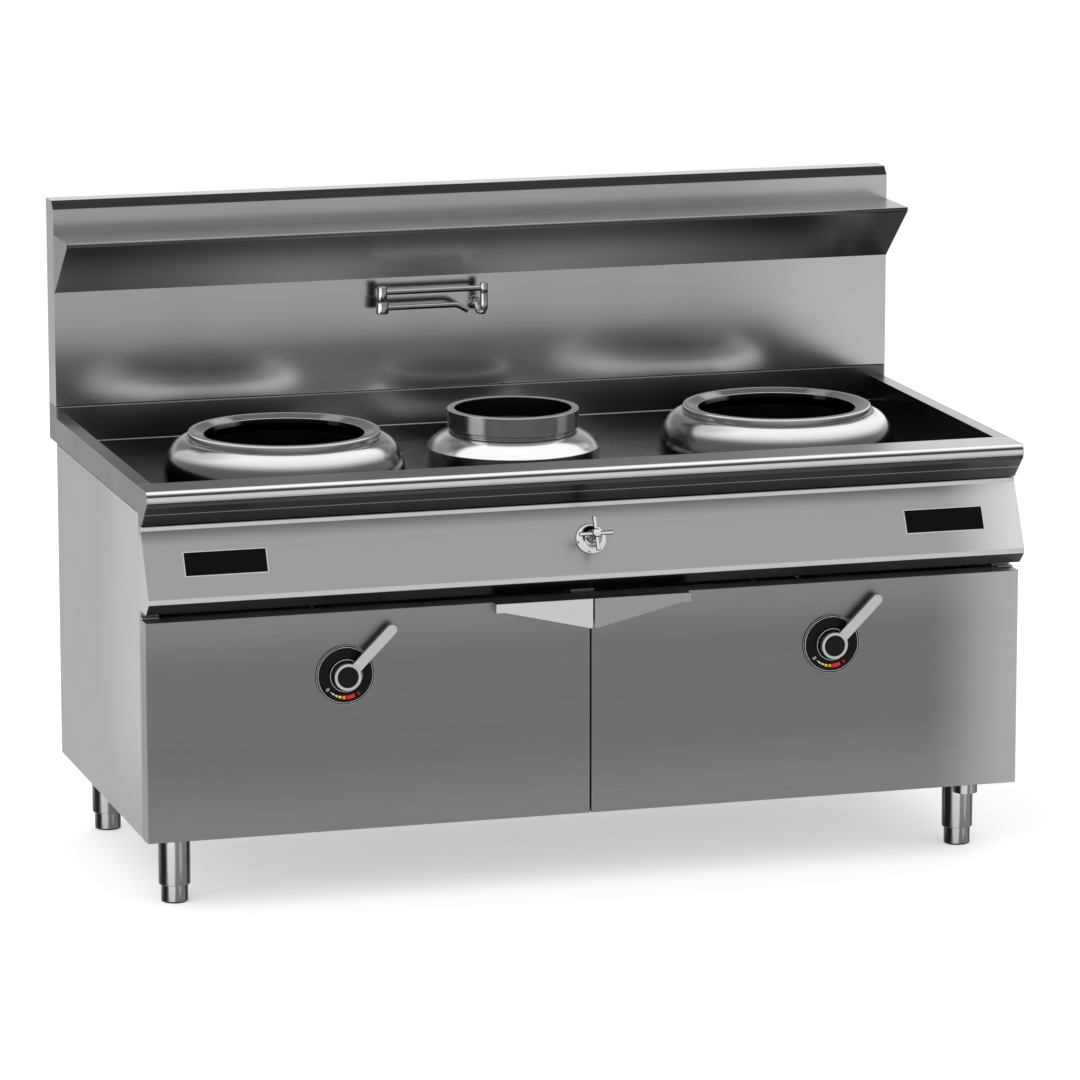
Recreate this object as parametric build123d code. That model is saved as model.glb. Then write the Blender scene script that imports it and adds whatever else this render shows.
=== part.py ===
from build123d import *
import math
import os

# A free-standing wok range: cabinet on four legs, sunken hob with two wok units and a pot unit,
# sloping control fascia, two doors with knee levers, splashback with shelf and swivel spout.
# Millimetres.  While modelling, Y is counted back from the doors' front face and Z up from the floor.
# write() moves everything by -CENTRE_Y, so that the origin is the middle of the footprint.

# Overall
WIDTH = 1800.0
HALF = WIDTH / 2
CENTRE_Y = 411.92
SHEET = 2.0
BEND = 2.5

# Cabinet
BODY_BOTTOM = 150.0
BODY_TOP = 798.0
SIDE_FRONT = 51.0
BODY_REAR = 815.0
SIDE_RETURN = 38.0
HEADER_BOTTOM = 594.0
HEADER_TOP = 772.0
RAIL_DEPTH = 40.0
RAIL_HEIGHT = 30.0

# Doors
DOOR_TOP = 590.0
DOOR_DEPTH = 47.0
DOOR_SHEET = 1.5
DOOR_GAP = 3.0
PIVOT_INSET = 9.0
PIVOT_Y = 38.0
PIN_R = 4.0
PULL_LENGTH = 200.0
PULL_HEIGHT = 60.5
PULL_END_HEIGHT = 18.0
PULL_REACH = 22.0

# Hob
HOB_TOP = 851.0
PAN_FLOOR = 765.0
PAN_FRONT = 73.0
PAN_SIDE = 870.0
FLOOR_SHEET = 3.0
NOSE_FRONT = -20.0
NOSE_LOW = 825.0
NOSE_HEEL_Y = 27.5
NOSE_HEEL_Z = 777.5
NOSE_R = 13.0
APRON_BOTTOM = 800.0
UPSTAND_TOP = 876.0

# Splashback and shelf
SPLASH_FRONT = 815.0
SPLASH_REAR = 880.0
SPLASH_TOP = 1300.0
BAND_BOTTOM = 1283.0
BAND_TOP_Y = 831.0
SHELF_TOP = 1232.0
SHELF_FRONT = 681.0
SHELF_LIP = 8.0
SHELF_BOTTOM = 1111.0

# Fascia: the face falls two millimetres for each millimetre that it comes forward
FASCIA_TOP = 775.0
FACE_TOP_Y = 31.0
FACE_TOP_Z = 765.0
FACE_LOW_Y = -31.0
FACE_LOW_Z = 641.0
FASCIA_CHIN = 631.0
FASCIA_HEEL_Y = -5.0
FASCIA_BOTTOM = 607.0
WINDOW_X = 739.0
WINDOW_W = 163.0
WINDOW_H = 46.5
FACE_MID_Z = 705.0

# Wok units
WOK_X = 520.0
WOK_Y = 406.0
WOK_RIM_TOP = 881.2
WOK_HOLE_R = 161.0
WOK_RIM_R = 193.0
DOME_R = 243.0
DOME_SHOULDER_R = 197.0
DOME_EDGE = 792.0
DOME_TOP = 866.0
DOME_LEDGE_R = 180.0
BOWL_R = 178.0
BOWL_LOW = 654.0
BRICKS = 12
BRICK_IN = 162.0
BRICK_OUT = 173.0
PORT_REACH = 178.0

# Pot unit
POT_Y = 554.0
POT_TOP = 874.0
POT_BAND_R = 135.5
POT_HOLE_R = 120.4
POT_BAND_BOTTOM = 836.0
POT_DOME_R = 178.5
POT_DOME_EDGE = 796.0
POT_DOME_TOP = 828.0
POT_LEDGE_R = 122.0

# Dials and knee levers
DIAL_X = 502.0
DIAL_Z = 463.0
DIAL_R = 60.0
BOSS_R = 33.0
HUB_R = 27.0
CAP_R = 20.6
LEVER_REACH = 137.0
LEVER_W = 22.0
LEVER_ANGLE = 45.0
SPINDLE_R = 8.0
FIT = 0.05

# Gas train
GAS_Y = 215.0
GAS_Z = DIAL_Z
MANIFOLD_R = 19.0
MANIFOLD_BORE = 13.5
GAS_INLET_R = 15.15
WATER_INLET_R = 9.3
INLET_X = 720.0
PIPE_END_Y = 862.0

# Spout
SPOUT_Y = 770.0
ARM_LENGTH = 218.5
ARM_R = 6.0

# Legs
LEG_X = 820.7
LEG_FRONT_Y = 124.0
LEG_REAR_Y = 739.0
LEG_R = 31.75
LEG_BOTTOM = 36.5
BOOT_R = 27.0

# Waste
WASTE_X = 815.0
WASTE_Y = 118.0
WASTE_R = 25.0
DROP_Y = 68.2
DROP_R = 16.0
STUB_Y = 63.0
STUB_BOTTOM = 122.0

FACE_NORMAL = (0, -2 / math.sqrt(5), 1 / math.sqrt(5))


def face_plane(x, z):
    """Plane on the fascia's sloping face at a height z: local X across, local Y up the slope."""
    y = FACE_TOP_Y - (FACE_TOP_Z - z) / 2
    return Plane(origin=(x, y, z), x_dir=(1, 0, 0), z_dir=FACE_NORMAL)


def door_plane(side):
    """Plane on a door's front face at its dial: local X across, local Y up, local Z to the front."""
    return Plane(origin=(side * DIAL_X, 0, DIAL_Z), x_dir=(1, 0, 0), z_dir=(0, -1, 0))


def block(x0, x1, y0, y1, z0, z1):
    """Solid block between two corners."""
    box = Box(x1 - x0, y1 - y0, z1 - z0, align=(Align.MIN, Align.MIN, Align.MIN))
    return Pos(x0, y0, z0) * box


def rod(start, end, radius):
    """Solid cylinder from one point to another."""
    a = Vector(*start)
    b = Vector(*end)
    return Solid.make_cylinder(radius, (b - a).length, Plane(origin=a, z_dir=b - a))


def plate_along_x(points, x0, x1):
    """Flat plate with its outline given as (y, z), from x0 to x1."""
    outline = make_face(Polyline(*points, close=True))
    return extrude(Plane.YZ.offset(x0) * outline, x1 - x0)


def sheet_along_x(points, x0, x1, radii=BEND):
    """Folded sheet: its middle line is given as (y, z), its bends have the given middle radii."""
    line = FilletPolyline(*points, radius=radii)
    return extrude(Plane.YZ.offset(x0) * trace(line, SHEET), x1 - x0)


def sheet_along_z(points, z0, z1):
    """Folded sheet: its middle line is given as (x, y) and it stands from z0 to z1."""
    line = FilletPolyline(*points, radius=BEND)
    return extrude(Plane.XY.offset(z0) * trace(line, SHEET), z1 - z0)


def turned(points, x, y):
    """Solid of revolution about the vertical through (x, y): its section is given as (r, z)."""
    section = make_face(Polyline(*points, close=True))
    return Pos(x, y, 0) * revolve(Plane.XZ * section, Axis.Z)


def pipe(points, radius, bore, bend):
    """Bent pipe along points, with one bend radius and a bore."""
    path = FilletPolyline(*points, radius=bend)
    start = Plane(origin=path @ 0, z_dir=path % 0)
    outside = sweep(start * Circle(radius), path=path)
    inside = sweep(start * Circle(bore), path=path)
    return outside - inside


def mirrored(solid, side):
    """The left-hand solid itself, or its mirror image for the right-hand side."""
    return solid if side < 0 else mirror(solid, about=Plane.YZ)


def write(name, *solids):
    """Write one node, with the origin at the middle of the footprint on the floor."""
    shift = Pos(0, -CENTRE_Y, 0)
    pieces = []
    for solid in solids:
        pieces += (shift * solid).solids()
    node = pieces[0] if len(pieces) == 1 else Compound(children=pieces)
    export_step(node, f"parts/{name}.step")


# ---------------------------------------------------------------- cabinet


def side_panel(side):
    """Side sheet with a return fold along its front and its rear edge."""
    skin = HALF - SHEET / 2
    fold = HALF - SIDE_RETURN
    front = SIDE_FRONT + SHEET / 2
    rear = BODY_REAR - SHEET / 2
    points = [(-fold, front), (-skin, front), (-skin, rear), (-fold, rear)]
    panel = sheet_along_z(points, BODY_BOTTOM, BODY_TOP)
    panel -= block(-HALF + SHEET, -fold + 1, rear - 3, rear + 2, PAN_FLOOR - 5, BODY_TOP + 1)
    return mirrored(panel, side)


def rear_panel():
    """Rear sheet with two fields of vent slots and holes for the gas and water pipes."""
    top = PAN_FLOOR - FLOOR_SHEET - 4
    panel = block(-HALF + 4, HALF - 4, BODY_REAR, BODY_REAR + 1.5, BODY_BOTTOM + 4, top)
    for x in (-420, 420):
        for row in range(6):
            z = 250 + 26 * row
            panel -= block(x - 110, x + 110, BODY_REAR - 1, BODY_REAR + 3, z, z + 8)
    panel -= rod((INLET_X, BODY_REAR - 5, GAS_Z), (INLET_X, BODY_REAR + 5, GAS_Z), MANIFOLD_R + 2)
    for x, z in ((52, 630), (-52, 610)):
        panel -= rod((x, BODY_REAR - 5, z), (x, BODY_REAR + 5, z), 10)
    return panel


def base_panel():
    """Cabinet floor with upturned front and rear edges and a notch for the waste pipe."""
    low = BODY_BOTTOM + SHEET / 2
    lip = low + 25
    front = SIDE_FRONT + 4
    rear = BODY_REAR - 5
    points = [(front, lip), (front, low), (rear, low), (rear, lip)]
    panel = sheet_along_x(points, -HALF + 3, HALF - 3)
    reach = WASTE_R + 3
    return panel - block(
        WASTE_X - reach - 1, WASTE_X + reach, SIDE_FRONT - 1, SIDE_FRONT + 2 * reach, BODY_BOTTOM - 1, lip + 5
    )


def box_rail(y, z):
    """Square-tube rail across the cabinet, with its middle at y and its underside at z."""
    half = RAIL_DEPTH / 2
    end = HALF - 4
    rail = block(-end, end, y - half, y + half, z, z + RAIL_HEIGHT)
    return rail - block(
        -end - 1, end + 1, y - half + SHEET, y + half - SHEET, z + SHEET, z + RAIL_HEIGHT - SHEET
    )


def front_header():
    """Channel above the doors that carries the fascia, with two holes for the tap's pipes."""
    web = SIDE_FRONT + SHEET / 2
    low = HEADER_BOTTOM + SHEET / 2
    high = HEADER_TOP - SHEET / 2
    end = HALF - SIDE_RETURN - 1
    header = sheet_along_x([(90, low), (web, low), (web, high), (PAN_FRONT - 5, high)], -end, end)
    for x in (-52, 52):
        header -= rod((x, web - 5, 692), (x, web + 5, 692), 10)
    return header


def centre_post():
    """Upright tube behind the split between the doors."""
    post = block(-25, 25, 58, 88, BODY_BOTTOM + SHEET, HEADER_BOTTOM)
    return post - block(-23, 23, 60, 86, BODY_BOTTOM, HEADER_BOTTOM + 1)


def hinge_bracket(side, top):
    """Pivot bracket fixed to the side panel's return, with its pin pointing into the door."""
    x0 = -HALF + 1
    x1 = -HALF + 34
    if top:
        z0 = DOOR_TOP + 1.2
        plate = block(x0, x1, 30, SIDE_FRONT, z0, z0 + 2.6)
        tab = block(x1 - 18, x1, SIDE_FRONT - 2, SIDE_FRONT, z0, z0 + 14)
        pin = (z0 - 12, z0 + 1)
    else:
        z0 = BODY_BOTTOM - 3.5
        plate = block(x0, x1, 30, SIDE_FRONT, z0, z0 + 2.6)
        tab = block(x1 - 18, x1, SIDE_FRONT - 2, SIDE_FRONT, z0, z0 + 22)
        pin = (z0 + 1, z0 + 14)
    x = -HALF + PIVOT_INSET
    bracket = plate + tab + rod((x, PIVOT_Y, pin[0]), (x, PIVOT_Y, pin[1]), PIN_R)
    return mirrored(bracket, side)


# ---------------------------------------------------------------- hob


def hob_floor():
    """Floor of the sunken pan with the two wok holes, the pot hole and the waste hole."""
    plate = block(-PAN_SIDE, PAN_SIDE, PAN_FRONT, SPLASH_FRONT, PAN_FLOOR - FLOOR_SHEET, PAN_FLOOR)
    holes = [(-WOK_X, WOK_Y, BOWL_R + 2), (WOK_X, WOK_Y, BOWL_R + 2), (0, POT_Y, 118), (WASTE_X, WASTE_Y, 24)]
    for x, y, radius in holes:
        plate -= rod((x, y, PAN_FLOOR - 10), (x, y, PAN_FLOOR + 10), radius)
    return plate


def front_nosing():
    """Front rail of the hob: pan wall, flat rim, bull nose and the underside that slants back."""
    wall = PAN_FRONT - SHEET / 2
    top = HOB_TOP - SHEET / 2
    nose = NOSE_FRONT + SHEET / 2
    points = [
        (wall, PAN_FLOOR - FLOOR_SHEET),
        (wall, top),
        (nose, top),
        (nose, NOSE_LOW + 0.4),
        (NOSE_HEEL_Y + 0.4, NOSE_HEEL_Z + 1),
        (SIDE_FRONT - 1, NOSE_HEEL_Z + 1),
    ]
    return sheet_along_x(points, -HALF + SHEET, HALF - SHEET, [BEND, NOSE_R - 1, BEND, BEND])


def hob_rim(side):
    """Side rim of the hob: apron plate with the nosing's outline, flat rim and pan wall."""
    corner = NOSE_FRONT + NOSE_R
    slack = NOSE_R * (1 - math.sqrt(0.5))
    edges = [
        Line((SPLASH_REAR, APRON_BOTTOM), (SPLASH_REAR, UPSTAND_TOP)),
        Line((SPLASH_REAR, UPSTAND_TOP), (SPLASH_FRONT, UPSTAND_TOP)),
        Line((SPLASH_FRONT, UPSTAND_TOP), (SPLASH_FRONT, HOB_TOP)),
        Line((SPLASH_FRONT, HOB_TOP), (corner, HOB_TOP)),
        ThreePointArc(
            (corner, HOB_TOP), (NOSE_FRONT + slack, HOB_TOP - slack), (NOSE_FRONT, HOB_TOP - NOSE_R)
        ),
        Line((NOSE_FRONT, HOB_TOP - NOSE_R), (NOSE_FRONT, NOSE_LOW)),
        Line((NOSE_FRONT, NOSE_LOW), (NOSE_HEEL_Y, NOSE_HEEL_Z)),
        Line((NOSE_HEEL_Y, NOSE_HEEL_Z), (SIDE_FRONT - 1, NOSE_HEEL_Z)),
        Line((SIDE_FRONT - 1, NOSE_HEEL_Z), (SIDE_FRONT - 1, APRON_BOTTOM)),
        Line((SIDE_FRONT - 1, APRON_BOTTOM), (SPLASH_REAR, APRON_BOTTOM)),
    ]
    apron = extrude(Plane.YZ.offset(-HALF) * make_face(edges), SHEET)
    rim = block(-HALF + SHEET, -PAN_SIDE, PAN_FRONT, SPLASH_FRONT, HOB_TOP - SHEET, HOB_TOP)
    wall = block(-PAN_SIDE - SHEET, -PAN_SIDE, PAN_FRONT, SPLASH_FRONT, PAN_FLOOR - FLOOR_SHEET, HOB_TOP - SHEET)
    return mirrored(apron + rim + wall, side)


def rear_upstand():
    """Rear box of the hob that the splashback stands on, with a hole for the water riser."""
    front = SPLASH_FRONT + SHEET / 2
    rear = SPLASH_REAR - SHEET / 2
    top = UPSTAND_TOP - SHEET / 2
    points = [(front, PAN_FLOOR - FLOOR_SHEET), (front, top), (rear, top), (rear, APRON_BOTTOM + 2)]
    box = sheet_along_x(points, -HALF + SHEET, HALF - SHEET)
    return box - rod((-52, 847, top - 5), (-52, 847, top + 5), 9)


# ---------------------------------------------------------------- splashback


def splashback_skin():
    """Front, chamfered top and ends of the splashback, with a hole for the spout's elbow."""
    front = SPLASH_FRONT + SHEET / 2
    rear = SPLASH_REAR - SHEET / 2
    top = SPLASH_TOP - SHEET / 2
    foot = UPSTAND_TOP + 1
    points = [
        (front, foot),
        (front, BAND_BOTTOM - 0.4),
        (BAND_TOP_Y + 0.4, top),
        (rear, top),
        (rear, top - 40),
    ]
    skin = sheet_along_x(points, -HALF + SHEET, HALF - SHEET)
    ends = [
        (SPLASH_FRONT, foot),
        (SPLASH_FRONT, BAND_BOTTOM),
        (BAND_TOP_Y, SPLASH_TOP),
        (SPLASH_REAR, SPLASH_TOP),
        (SPLASH_REAR, foot),
    ]
    skin += plate_along_x(ends, -HALF, -HALF + SHEET)
    skin += plate_along_x(ends, HALF - SHEET, HALF)
    return skin - rod((-10, 805, 1052), (-10, 825, 1052), 8)


def splashback_rear_cover():
    """Flat cover that closes the splashback from behind."""
    return block(-HALF + 4, HALF - 4, SPLASH_REAR - 4, SPLASH_REAR - 2.2, UPSTAND_TOP + 2, SPLASH_TOP - 6)


def shelf():
    """Wedge shelf: level top, short lip, underside that slants back, and triangular end gussets."""
    top = SHELF_TOP - SHEET / 2
    front = SHELF_FRONT + SHEET / 2
    points = [
        (SPLASH_FRONT, top),
        (front, top),
        (front, SHELF_TOP - SHELF_LIP + 0.5),
        (SPLASH_FRONT, SHELF_BOTTOM + 1.6),
    ]
    shell = sheet_along_x(points, -HALF + SHEET, HALF - SHEET, 2.0)
    behind = block(-HALF - 1, HALF + 1, SPLASH_FRONT, SPLASH_FRONT + 5, SHELF_BOTTOM - 20, SHELF_TOP + 5)
    gusset = [
        (SPLASH_FRONT, SHELF_TOP),
        (SHELF_FRONT, SHELF_TOP),
        (SHELF_FRONT, SHELF_TOP - SHELF_LIP),
        (SPLASH_FRONT, SHELF_BOTTOM),
    ]
    shell += plate_along_x(gusset, -HALF, -HALF + SHEET)
    shell += plate_along_x(gusset, HALF - SHEET, HALF)
    return shell - behind


# ---------------------------------------------------------------- fascia


def control_fascia():
    """Sloping control band, closed at its ends, with two window openings and the tap's hole."""
    outline = [
        (SIDE_FRONT, FASCIA_TOP),
        (FACE_TOP_Y, FASCIA_TOP),
        (FACE_TOP_Y, FACE_TOP_Z),
        (FACE_LOW_Y, FACE_LOW_Z),
        (FACE_LOW_Y, FASCIA_CHIN),
        (FASCIA_HEEL_Y, FASCIA_BOTTOM),
        (SIDE_FRONT, FASCIA_BOTTOM),
    ]
    middle = [
        (SIDE_FRONT, FASCIA_TOP - 1),
        (FACE_TOP_Y + 1, FASCIA_TOP - 1),
        (FACE_TOP_Y + 1, FACE_TOP_Z - 0.2),
        (FACE_LOW_Y + 1, FACE_LOW_Z - 0.2),
        (FACE_LOW_Y + 1, FASCIA_CHIN + 0.4),
        (FASCIA_HEEL_Y + 0.4, FASCIA_BOTTOM + 1),
        (SIDE_FRONT, FASCIA_BOTTOM + 1),
    ]
    shell = sheet_along_x(middle, -HALF + SHEET, HALF - SHEET, 2.0)
    shell += plate_along_x(outline, -HALF, -HALF + SHEET)
    shell += plate_along_x(outline, HALF - SHEET, HALF)
    for x in (-WINDOW_X, WINDOW_X):
        shell -= face_plane(x, 702) * Box(WINDOW_W + 0.4, WINDOW_H + 0.4, 12)
    return shell - face_plane(0, FACE_MID_Z) * Cylinder(12.5, 20)


def window(x):
    """Black window plate: a flush front and a flange behind the sheet."""
    front = Pos(0, 0, -1.3) * Box(WINDOW_W, WINDOW_H, 3.4)
    flange = Pos(0, 0, -3) * Box(WINDOW_W + 12, WINDOW_H + 12, 2)
    return face_plane(x, 702) * (front + flange)


# ---------------------------------------------------------------- doors


def door_skin(side):
    """Outer door tray: front sheet with four folded edges, hinge holes and the spindle's hole."""
    x0 = -HALF
    x1 = -DOOR_GAP / 2
    tray = block(x0, x1, 0, DOOR_DEPTH, BODY_BOTTOM, DOOR_TOP)
    tray = fillet(tray.faces().sort_by(Axis.Y)[0].edges(), 2.0)
    hinge_edge = tray.edges().filter_by(Axis.Z).sort_by(lambda e: e.center().Y - e.center().X)[-1]
    tray = fillet(hinge_edge, 3.0)
    tray -= block(
        x0 + DOOR_SHEET,
        x1 - DOOR_SHEET,
        DOOR_SHEET,
        DOOR_DEPTH + 1,
        BODY_BOTTOM + DOOR_SHEET,
        DOOR_TOP - DOOR_SHEET,
    )
    x = x0 + PIVOT_INSET
    for z in (BODY_BOTTOM, DOOR_TOP):
        tray -= rod((x, PIVOT_Y, z - 3), (x, PIVOT_Y, z + 3), PIN_R + FIT)
    tray -= rod((-DIAL_X, -1, DIAL_Z), (-DIAL_X, 3, DIAL_Z), 14.4)
    return mirrored(tray, side)


def door_liner(side):
    """Inner door sheet with the welded sleeve that the lever's spindle turns in."""
    gap = DOOR_SHEET + 0.1
    sheet = block(
        -HALF + gap + 3, -DOOR_GAP / 2 - gap, 43.5, 45, BODY_BOTTOM + gap, DOOR_TOP - gap
    )
    sleeve = rod((-DIAL_X, 0.2, DIAL_Z), (-DIAL_X, 49, DIAL_Z), 14)
    bore = rod((-DIAL_X, -1, DIAL_Z), (-DIAL_X, 50, DIAL_Z), SPINDLE_R + FIT)
    return mirrored(sheet + sleeve - bore, side)


def door_pull(side):
    """Folded finger pull at the top inner corner of a door."""
    x0 = -PULL_LENGTH
    x1 = -DOOR_GAP / 2 - 0.5
    top = DOOR_TOP - 0.5
    low = top - PULL_HEIGHT
    end = top - PULL_END_HEIGHT
    outline = Polyline((x0, top), (x1, top), (x1, low), (x0 + 18, end), (x0, end), close=True)
    face = make_face(outline)
    corner = face.vertices().sort_by(Axis.Y)[0]
    face = fillet(corner, 4.0)
    front = Plane.XZ.offset(PULL_REACH) * face
    pull = extrude(front, -SHEET)
    pull += block(x0, x1, -PULL_REACH, 0, top - SHEET, top)
    pull += block(x0, x1, -SHEET, 0, end, top)
    pull += block(x0, x0 + SHEET, -PULL_REACH, 0, end, top)
    return mirrored(pull, side)


def dial_plate(side):
    """Round dial plate with a raised boss around the spindle."""
    plate = Pos(0, 0, 1.5) * Cylinder(DIAL_R, 3)
    plate = fillet(plate.faces().sort_by(Axis.Z)[-1].edges(), 1.0)
    boss = Pos(0, 0, 6) * Cylinder(BOSS_R, 6)
    boss = chamfer(boss.faces().sort_by(Axis.Z)[-1].edges(), 1.2)
    bore = Cylinder(SPINDLE_R + FIT, 40)
    return door_plane(side) * (plate + boss - bore)


def knee_lever(side):
    """Flat lever bar with a rounded end and its hub, with a recess for the cap."""
    reach = LEVER_REACH - LEVER_W / 2
    bar = Pos(reach / 2, 0, 19) * Box(reach, LEVER_W, 10)
    bar += Pos(reach, 0, 19) * Cylinder(LEVER_W / 2, 10)
    bar = fillet(bar.faces().sort_by(Axis.Z)[-1].edges(), 1.4)
    bar = Rot(0, 0, LEVER_ANGLE) * bar
    hub = Pos(0, 0, 17.5) * Cylinder(HUB_R, 15)
    hub = fillet(hub.faces().sort_by(Axis.Z)[-1].edges(), 1.4)
    recess = Pos(0, 0, 24) * Cylinder(CAP_R + 0.2, 4)
    bore = Pos(0, 0, 9) * Cylinder(SPINDLE_R, 18)
    return door_plane(side) * (bar + hub - recess - bore)


def lever_cap(side):
    """Round cap that closes the lever's hub."""
    cap = Pos(0, 0, 24.1) * Cylinder(CAP_R, 4.2)
    cap = fillet(cap.faces().sort_by(Axis.Z)[-1].edges(), 1.0)
    return door_plane(side) * cap


def lever_spindle(side):
    """Spindle from the lever through the door, with a flat tongue at its inner end."""
    shaft = Pos(0, 0, -33.5) * Cylinder(SPINDLE_R, 103)
    tongue = Pos(0, 0, -89) * Box(14, 4, 8)
    return door_plane(side) * (shaft + tongue)


# ---------------------------------------------------------------- gas train


def valve_stem(side):
    """Rotating valve stem with a slotted coupler that takes the spindle's tongue."""
    coupler = Pos(0, 0, -94.5) * Cylinder(12, 18)
    slot = Pos(0, 0, -90) * Box(30, 5, 9.5)
    shaft = Pos(0, 0, -113) * Cylinder(6, 22)
    return door_plane(side) * (coupler - slot + shaft)


def gas_valve(side):
    """Gas valve body between the manifold and the burner pipe, with the stem's bore."""
    body = Pos(0, 0, -136) * Cylinder(20, 60)
    neck = Pos(0, 0, -180.5) * Cylinder(13, 31)
    outlet = Pos(0, 23, -140) * Rot(90, 0, 0) * Cylinder(13, 44)
    bore = Pos(0, 0, -115) * Cylinder(6 + FIT, 20)
    return door_plane(side) * (body + neck + outlet - bore)


def gas_manifold():
    """Gas pipe across the cabinet, an elbow, and the pipe back to the inlet, which ends in a connection socket."""
    bend = 45.0
    run_end = INLET_X - bend
    back_start = GAS_Y + bend
    run = rod((-530, GAS_Y, GAS_Z), (run_end, GAS_Y, GAS_Z), MANIFOLD_R)
    run += rod((-534, GAS_Y, GAS_Z), (-528, GAS_Y, GAS_Z), MANIFOLD_R + 2)
    run -= rod((-528, GAS_Y, GAS_Z), (run_end + 1, GAS_Y, GAS_Z), MANIFOLD_BORE)
    elbow = pipe(
        [(run_end - 4, GAS_Y, GAS_Z), (INLET_X, GAS_Y, GAS_Z), (INLET_X, back_start + 4, GAS_Z)],
        MANIFOLD_R, MANIFOLD_BORE, bend,
    )
    elbow -= block(run_end - 10, run_end, GAS_Y - 30, GAS_Y + 30, GAS_Z - 30, GAS_Z + 30)
    elbow -= block(INLET_X - 30, INLET_X + 30, back_start, back_start + 10, GAS_Z - 30, GAS_Z + 30)
    back = rod((INLET_X, back_start, GAS_Z), (INLET_X, PIPE_END_Y, GAS_Z), MANIFOLD_R)
    back += rod((INLET_X, PIPE_END_Y - 30, GAS_Z), (INLET_X, PIPE_END_Y, GAS_Z), MANIFOLD_R + 4)
    back -= rod((INLET_X, back_start - 1, GAS_Z), (INLET_X, PIPE_END_Y - 24, GAS_Z), MANIFOLD_BORE)
    back -= rod((INLET_X, PIPE_END_Y - 25, GAS_Z), (INLET_X, PIPE_END_Y + 1, GAS_Z), GAS_INLET_R)
    return [run, elbow, back]


def burner_pipe(side):
    """Pipe from the valve's outlet up and back to the burner's mixing tube."""
    valve_x = side * DIAL_X
    wok_x = side * WOK_X
    points = [(valve_x, 140, 508), (valve_x, 140, 564), (wok_x, WOK_Y, 564), (wok_x, WOK_Y, 612)]
    return pipe(points, 11, 9, 28)


def pilot_burner(side):
    """Pilot head beside the burner with its thin feed pipe from the manifold."""
    x = side * (WOK_X - 90)
    head = rod((x, WOK_Y, 614), (x, WOK_Y, 678), 5)
    points = [(x, GAS_Y, GAS_Z + MANIFOLD_R), (x, GAS_Y, 524), (x, WOK_Y, 574), (x, WOK_Y, 616)]
    return head + pipe(points, 3, 2, 14)


def burner(side):
    """Cast burner: mixing tube, cone, head plate and a ring of jets round a centre jet."""
    x = side * WOK_X
    section = [
        (0, 612), (16, 612), (18, 654), (34, 664), (58, 680), (60, 684), (60, 696), (54, 700), (0, 700),
    ]
    body = turned(section, x, WOK_Y)
    for n in range(8):
        angle = math.radians(45 * n)
        jx = x + 42 * math.cos(angle)
        jy = WOK_Y + 42 * math.sin(angle)
        body += rod((jx, jy, 694), (jx, jy, 712), 6)
    return body + rod((x, WOK_Y, 694), (x, WOK_Y, 716), 11)


def ring_of_bricks(section, x):
    """Flat-faced bricks all round (x, WOK_Y): each has its section given as (distance, z) at its middle."""
    half = 180 / BRICKS
    spread = 250 * math.tan(math.radians(half))
    wedge = extrude(make_face(Polyline((0, 0), (250, -spread), (250, spread), close=True)), 1000)
    slab = extrude(Plane.XZ * make_face(Polyline(*section, close=True)), 70, both=True)
    brick = slab & wedge
    return [Pos(x, WOK_Y, 0) * Rot(0, 0, 2 * half * n + half) * brick for n in range(BRICKS)]


def combustion_bowl(side):
    """Bowl round the burner: brick floor with an air slot, sloping and upright bricks, collar, and the flue port."""
    x = -WOK_X
    low = BOWL_LOW
    knee = PAN_FLOOR - 11
    slope = [(114, low + 12), (124, low), (BRICK_OUT, knee), (BRICK_IN, knee + 10)]
    upright = [(BRICK_IN, knee + 10), (BRICK_OUT, knee), (BRICK_OUT, 848), (BRICK_IN, 848)]
    collar = [(BRICK_OUT, PAN_FLOOR), (186, PAN_FLOOR), (186, PAN_FLOOR + 4), (BRICK_OUT, PAN_FLOOR + 4)]
    floor = ring_of_bricks([(64, low), (124, low), (114, low + 12), (64, low + 12)], x)
    inner = ring_of_bricks([(64, low), (80, low), (80, low + 12), (64, low + 12)], x)
    outer = ring_of_bricks([(100, low), (124, low), (114, low + 12), (100, low + 12)], x)
    solids = [*floor[1:-1], inner[0], inner[-1], outer[0], outer[-1]]

    first, second, *whole = ring_of_bricks(slope, x)
    below = block(x, x + 300, WOK_Y - 1, WOK_Y + 300, low - 5, 690)
    above = block(x, x + 300, WOK_Y - 1, WOK_Y + 300, 738, 790)
    before = block(x, x + 300, WOK_Y - 1, 442, 690, 738)
    behind = block(x, x + 300, 518, WOK_Y + 300, 690, 738)
    solids += [first & below, first & above, first & before, second & below, second & above, second & behind, *whole]
    solids += ring_of_bricks(upright, x) + ring_of_bricks(collar, x)

    filled = ring_of_bricks([(0, low), (124, low), (BRICK_OUT, knee), (0, knee)], x)[:2]
    sector = ring_of_bricks([(0, low - 5), (240, low - 5), (240, knee), (0, knee)], x)[:2]
    start, end = x + 90, x + PORT_REACH
    for n, plate in (
        (0, block(start, end, 434, 526, 682, 690)),
        (1, block(start, end, 434, 526, 682, 690)),
        (0, block(start, end, 434, 526, 738, 746)),
        (1, block(start, end, 434, 526, 738, 746)),
        (0, block(start, end, 434, 442, 690, 738)),
        (1, block(start, end, 518, 526, 690, 738)),
    ):
        solids.append((plate & sector[n]) - filled[n])
    return [mirrored(solid, side) for solid in solids]


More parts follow.
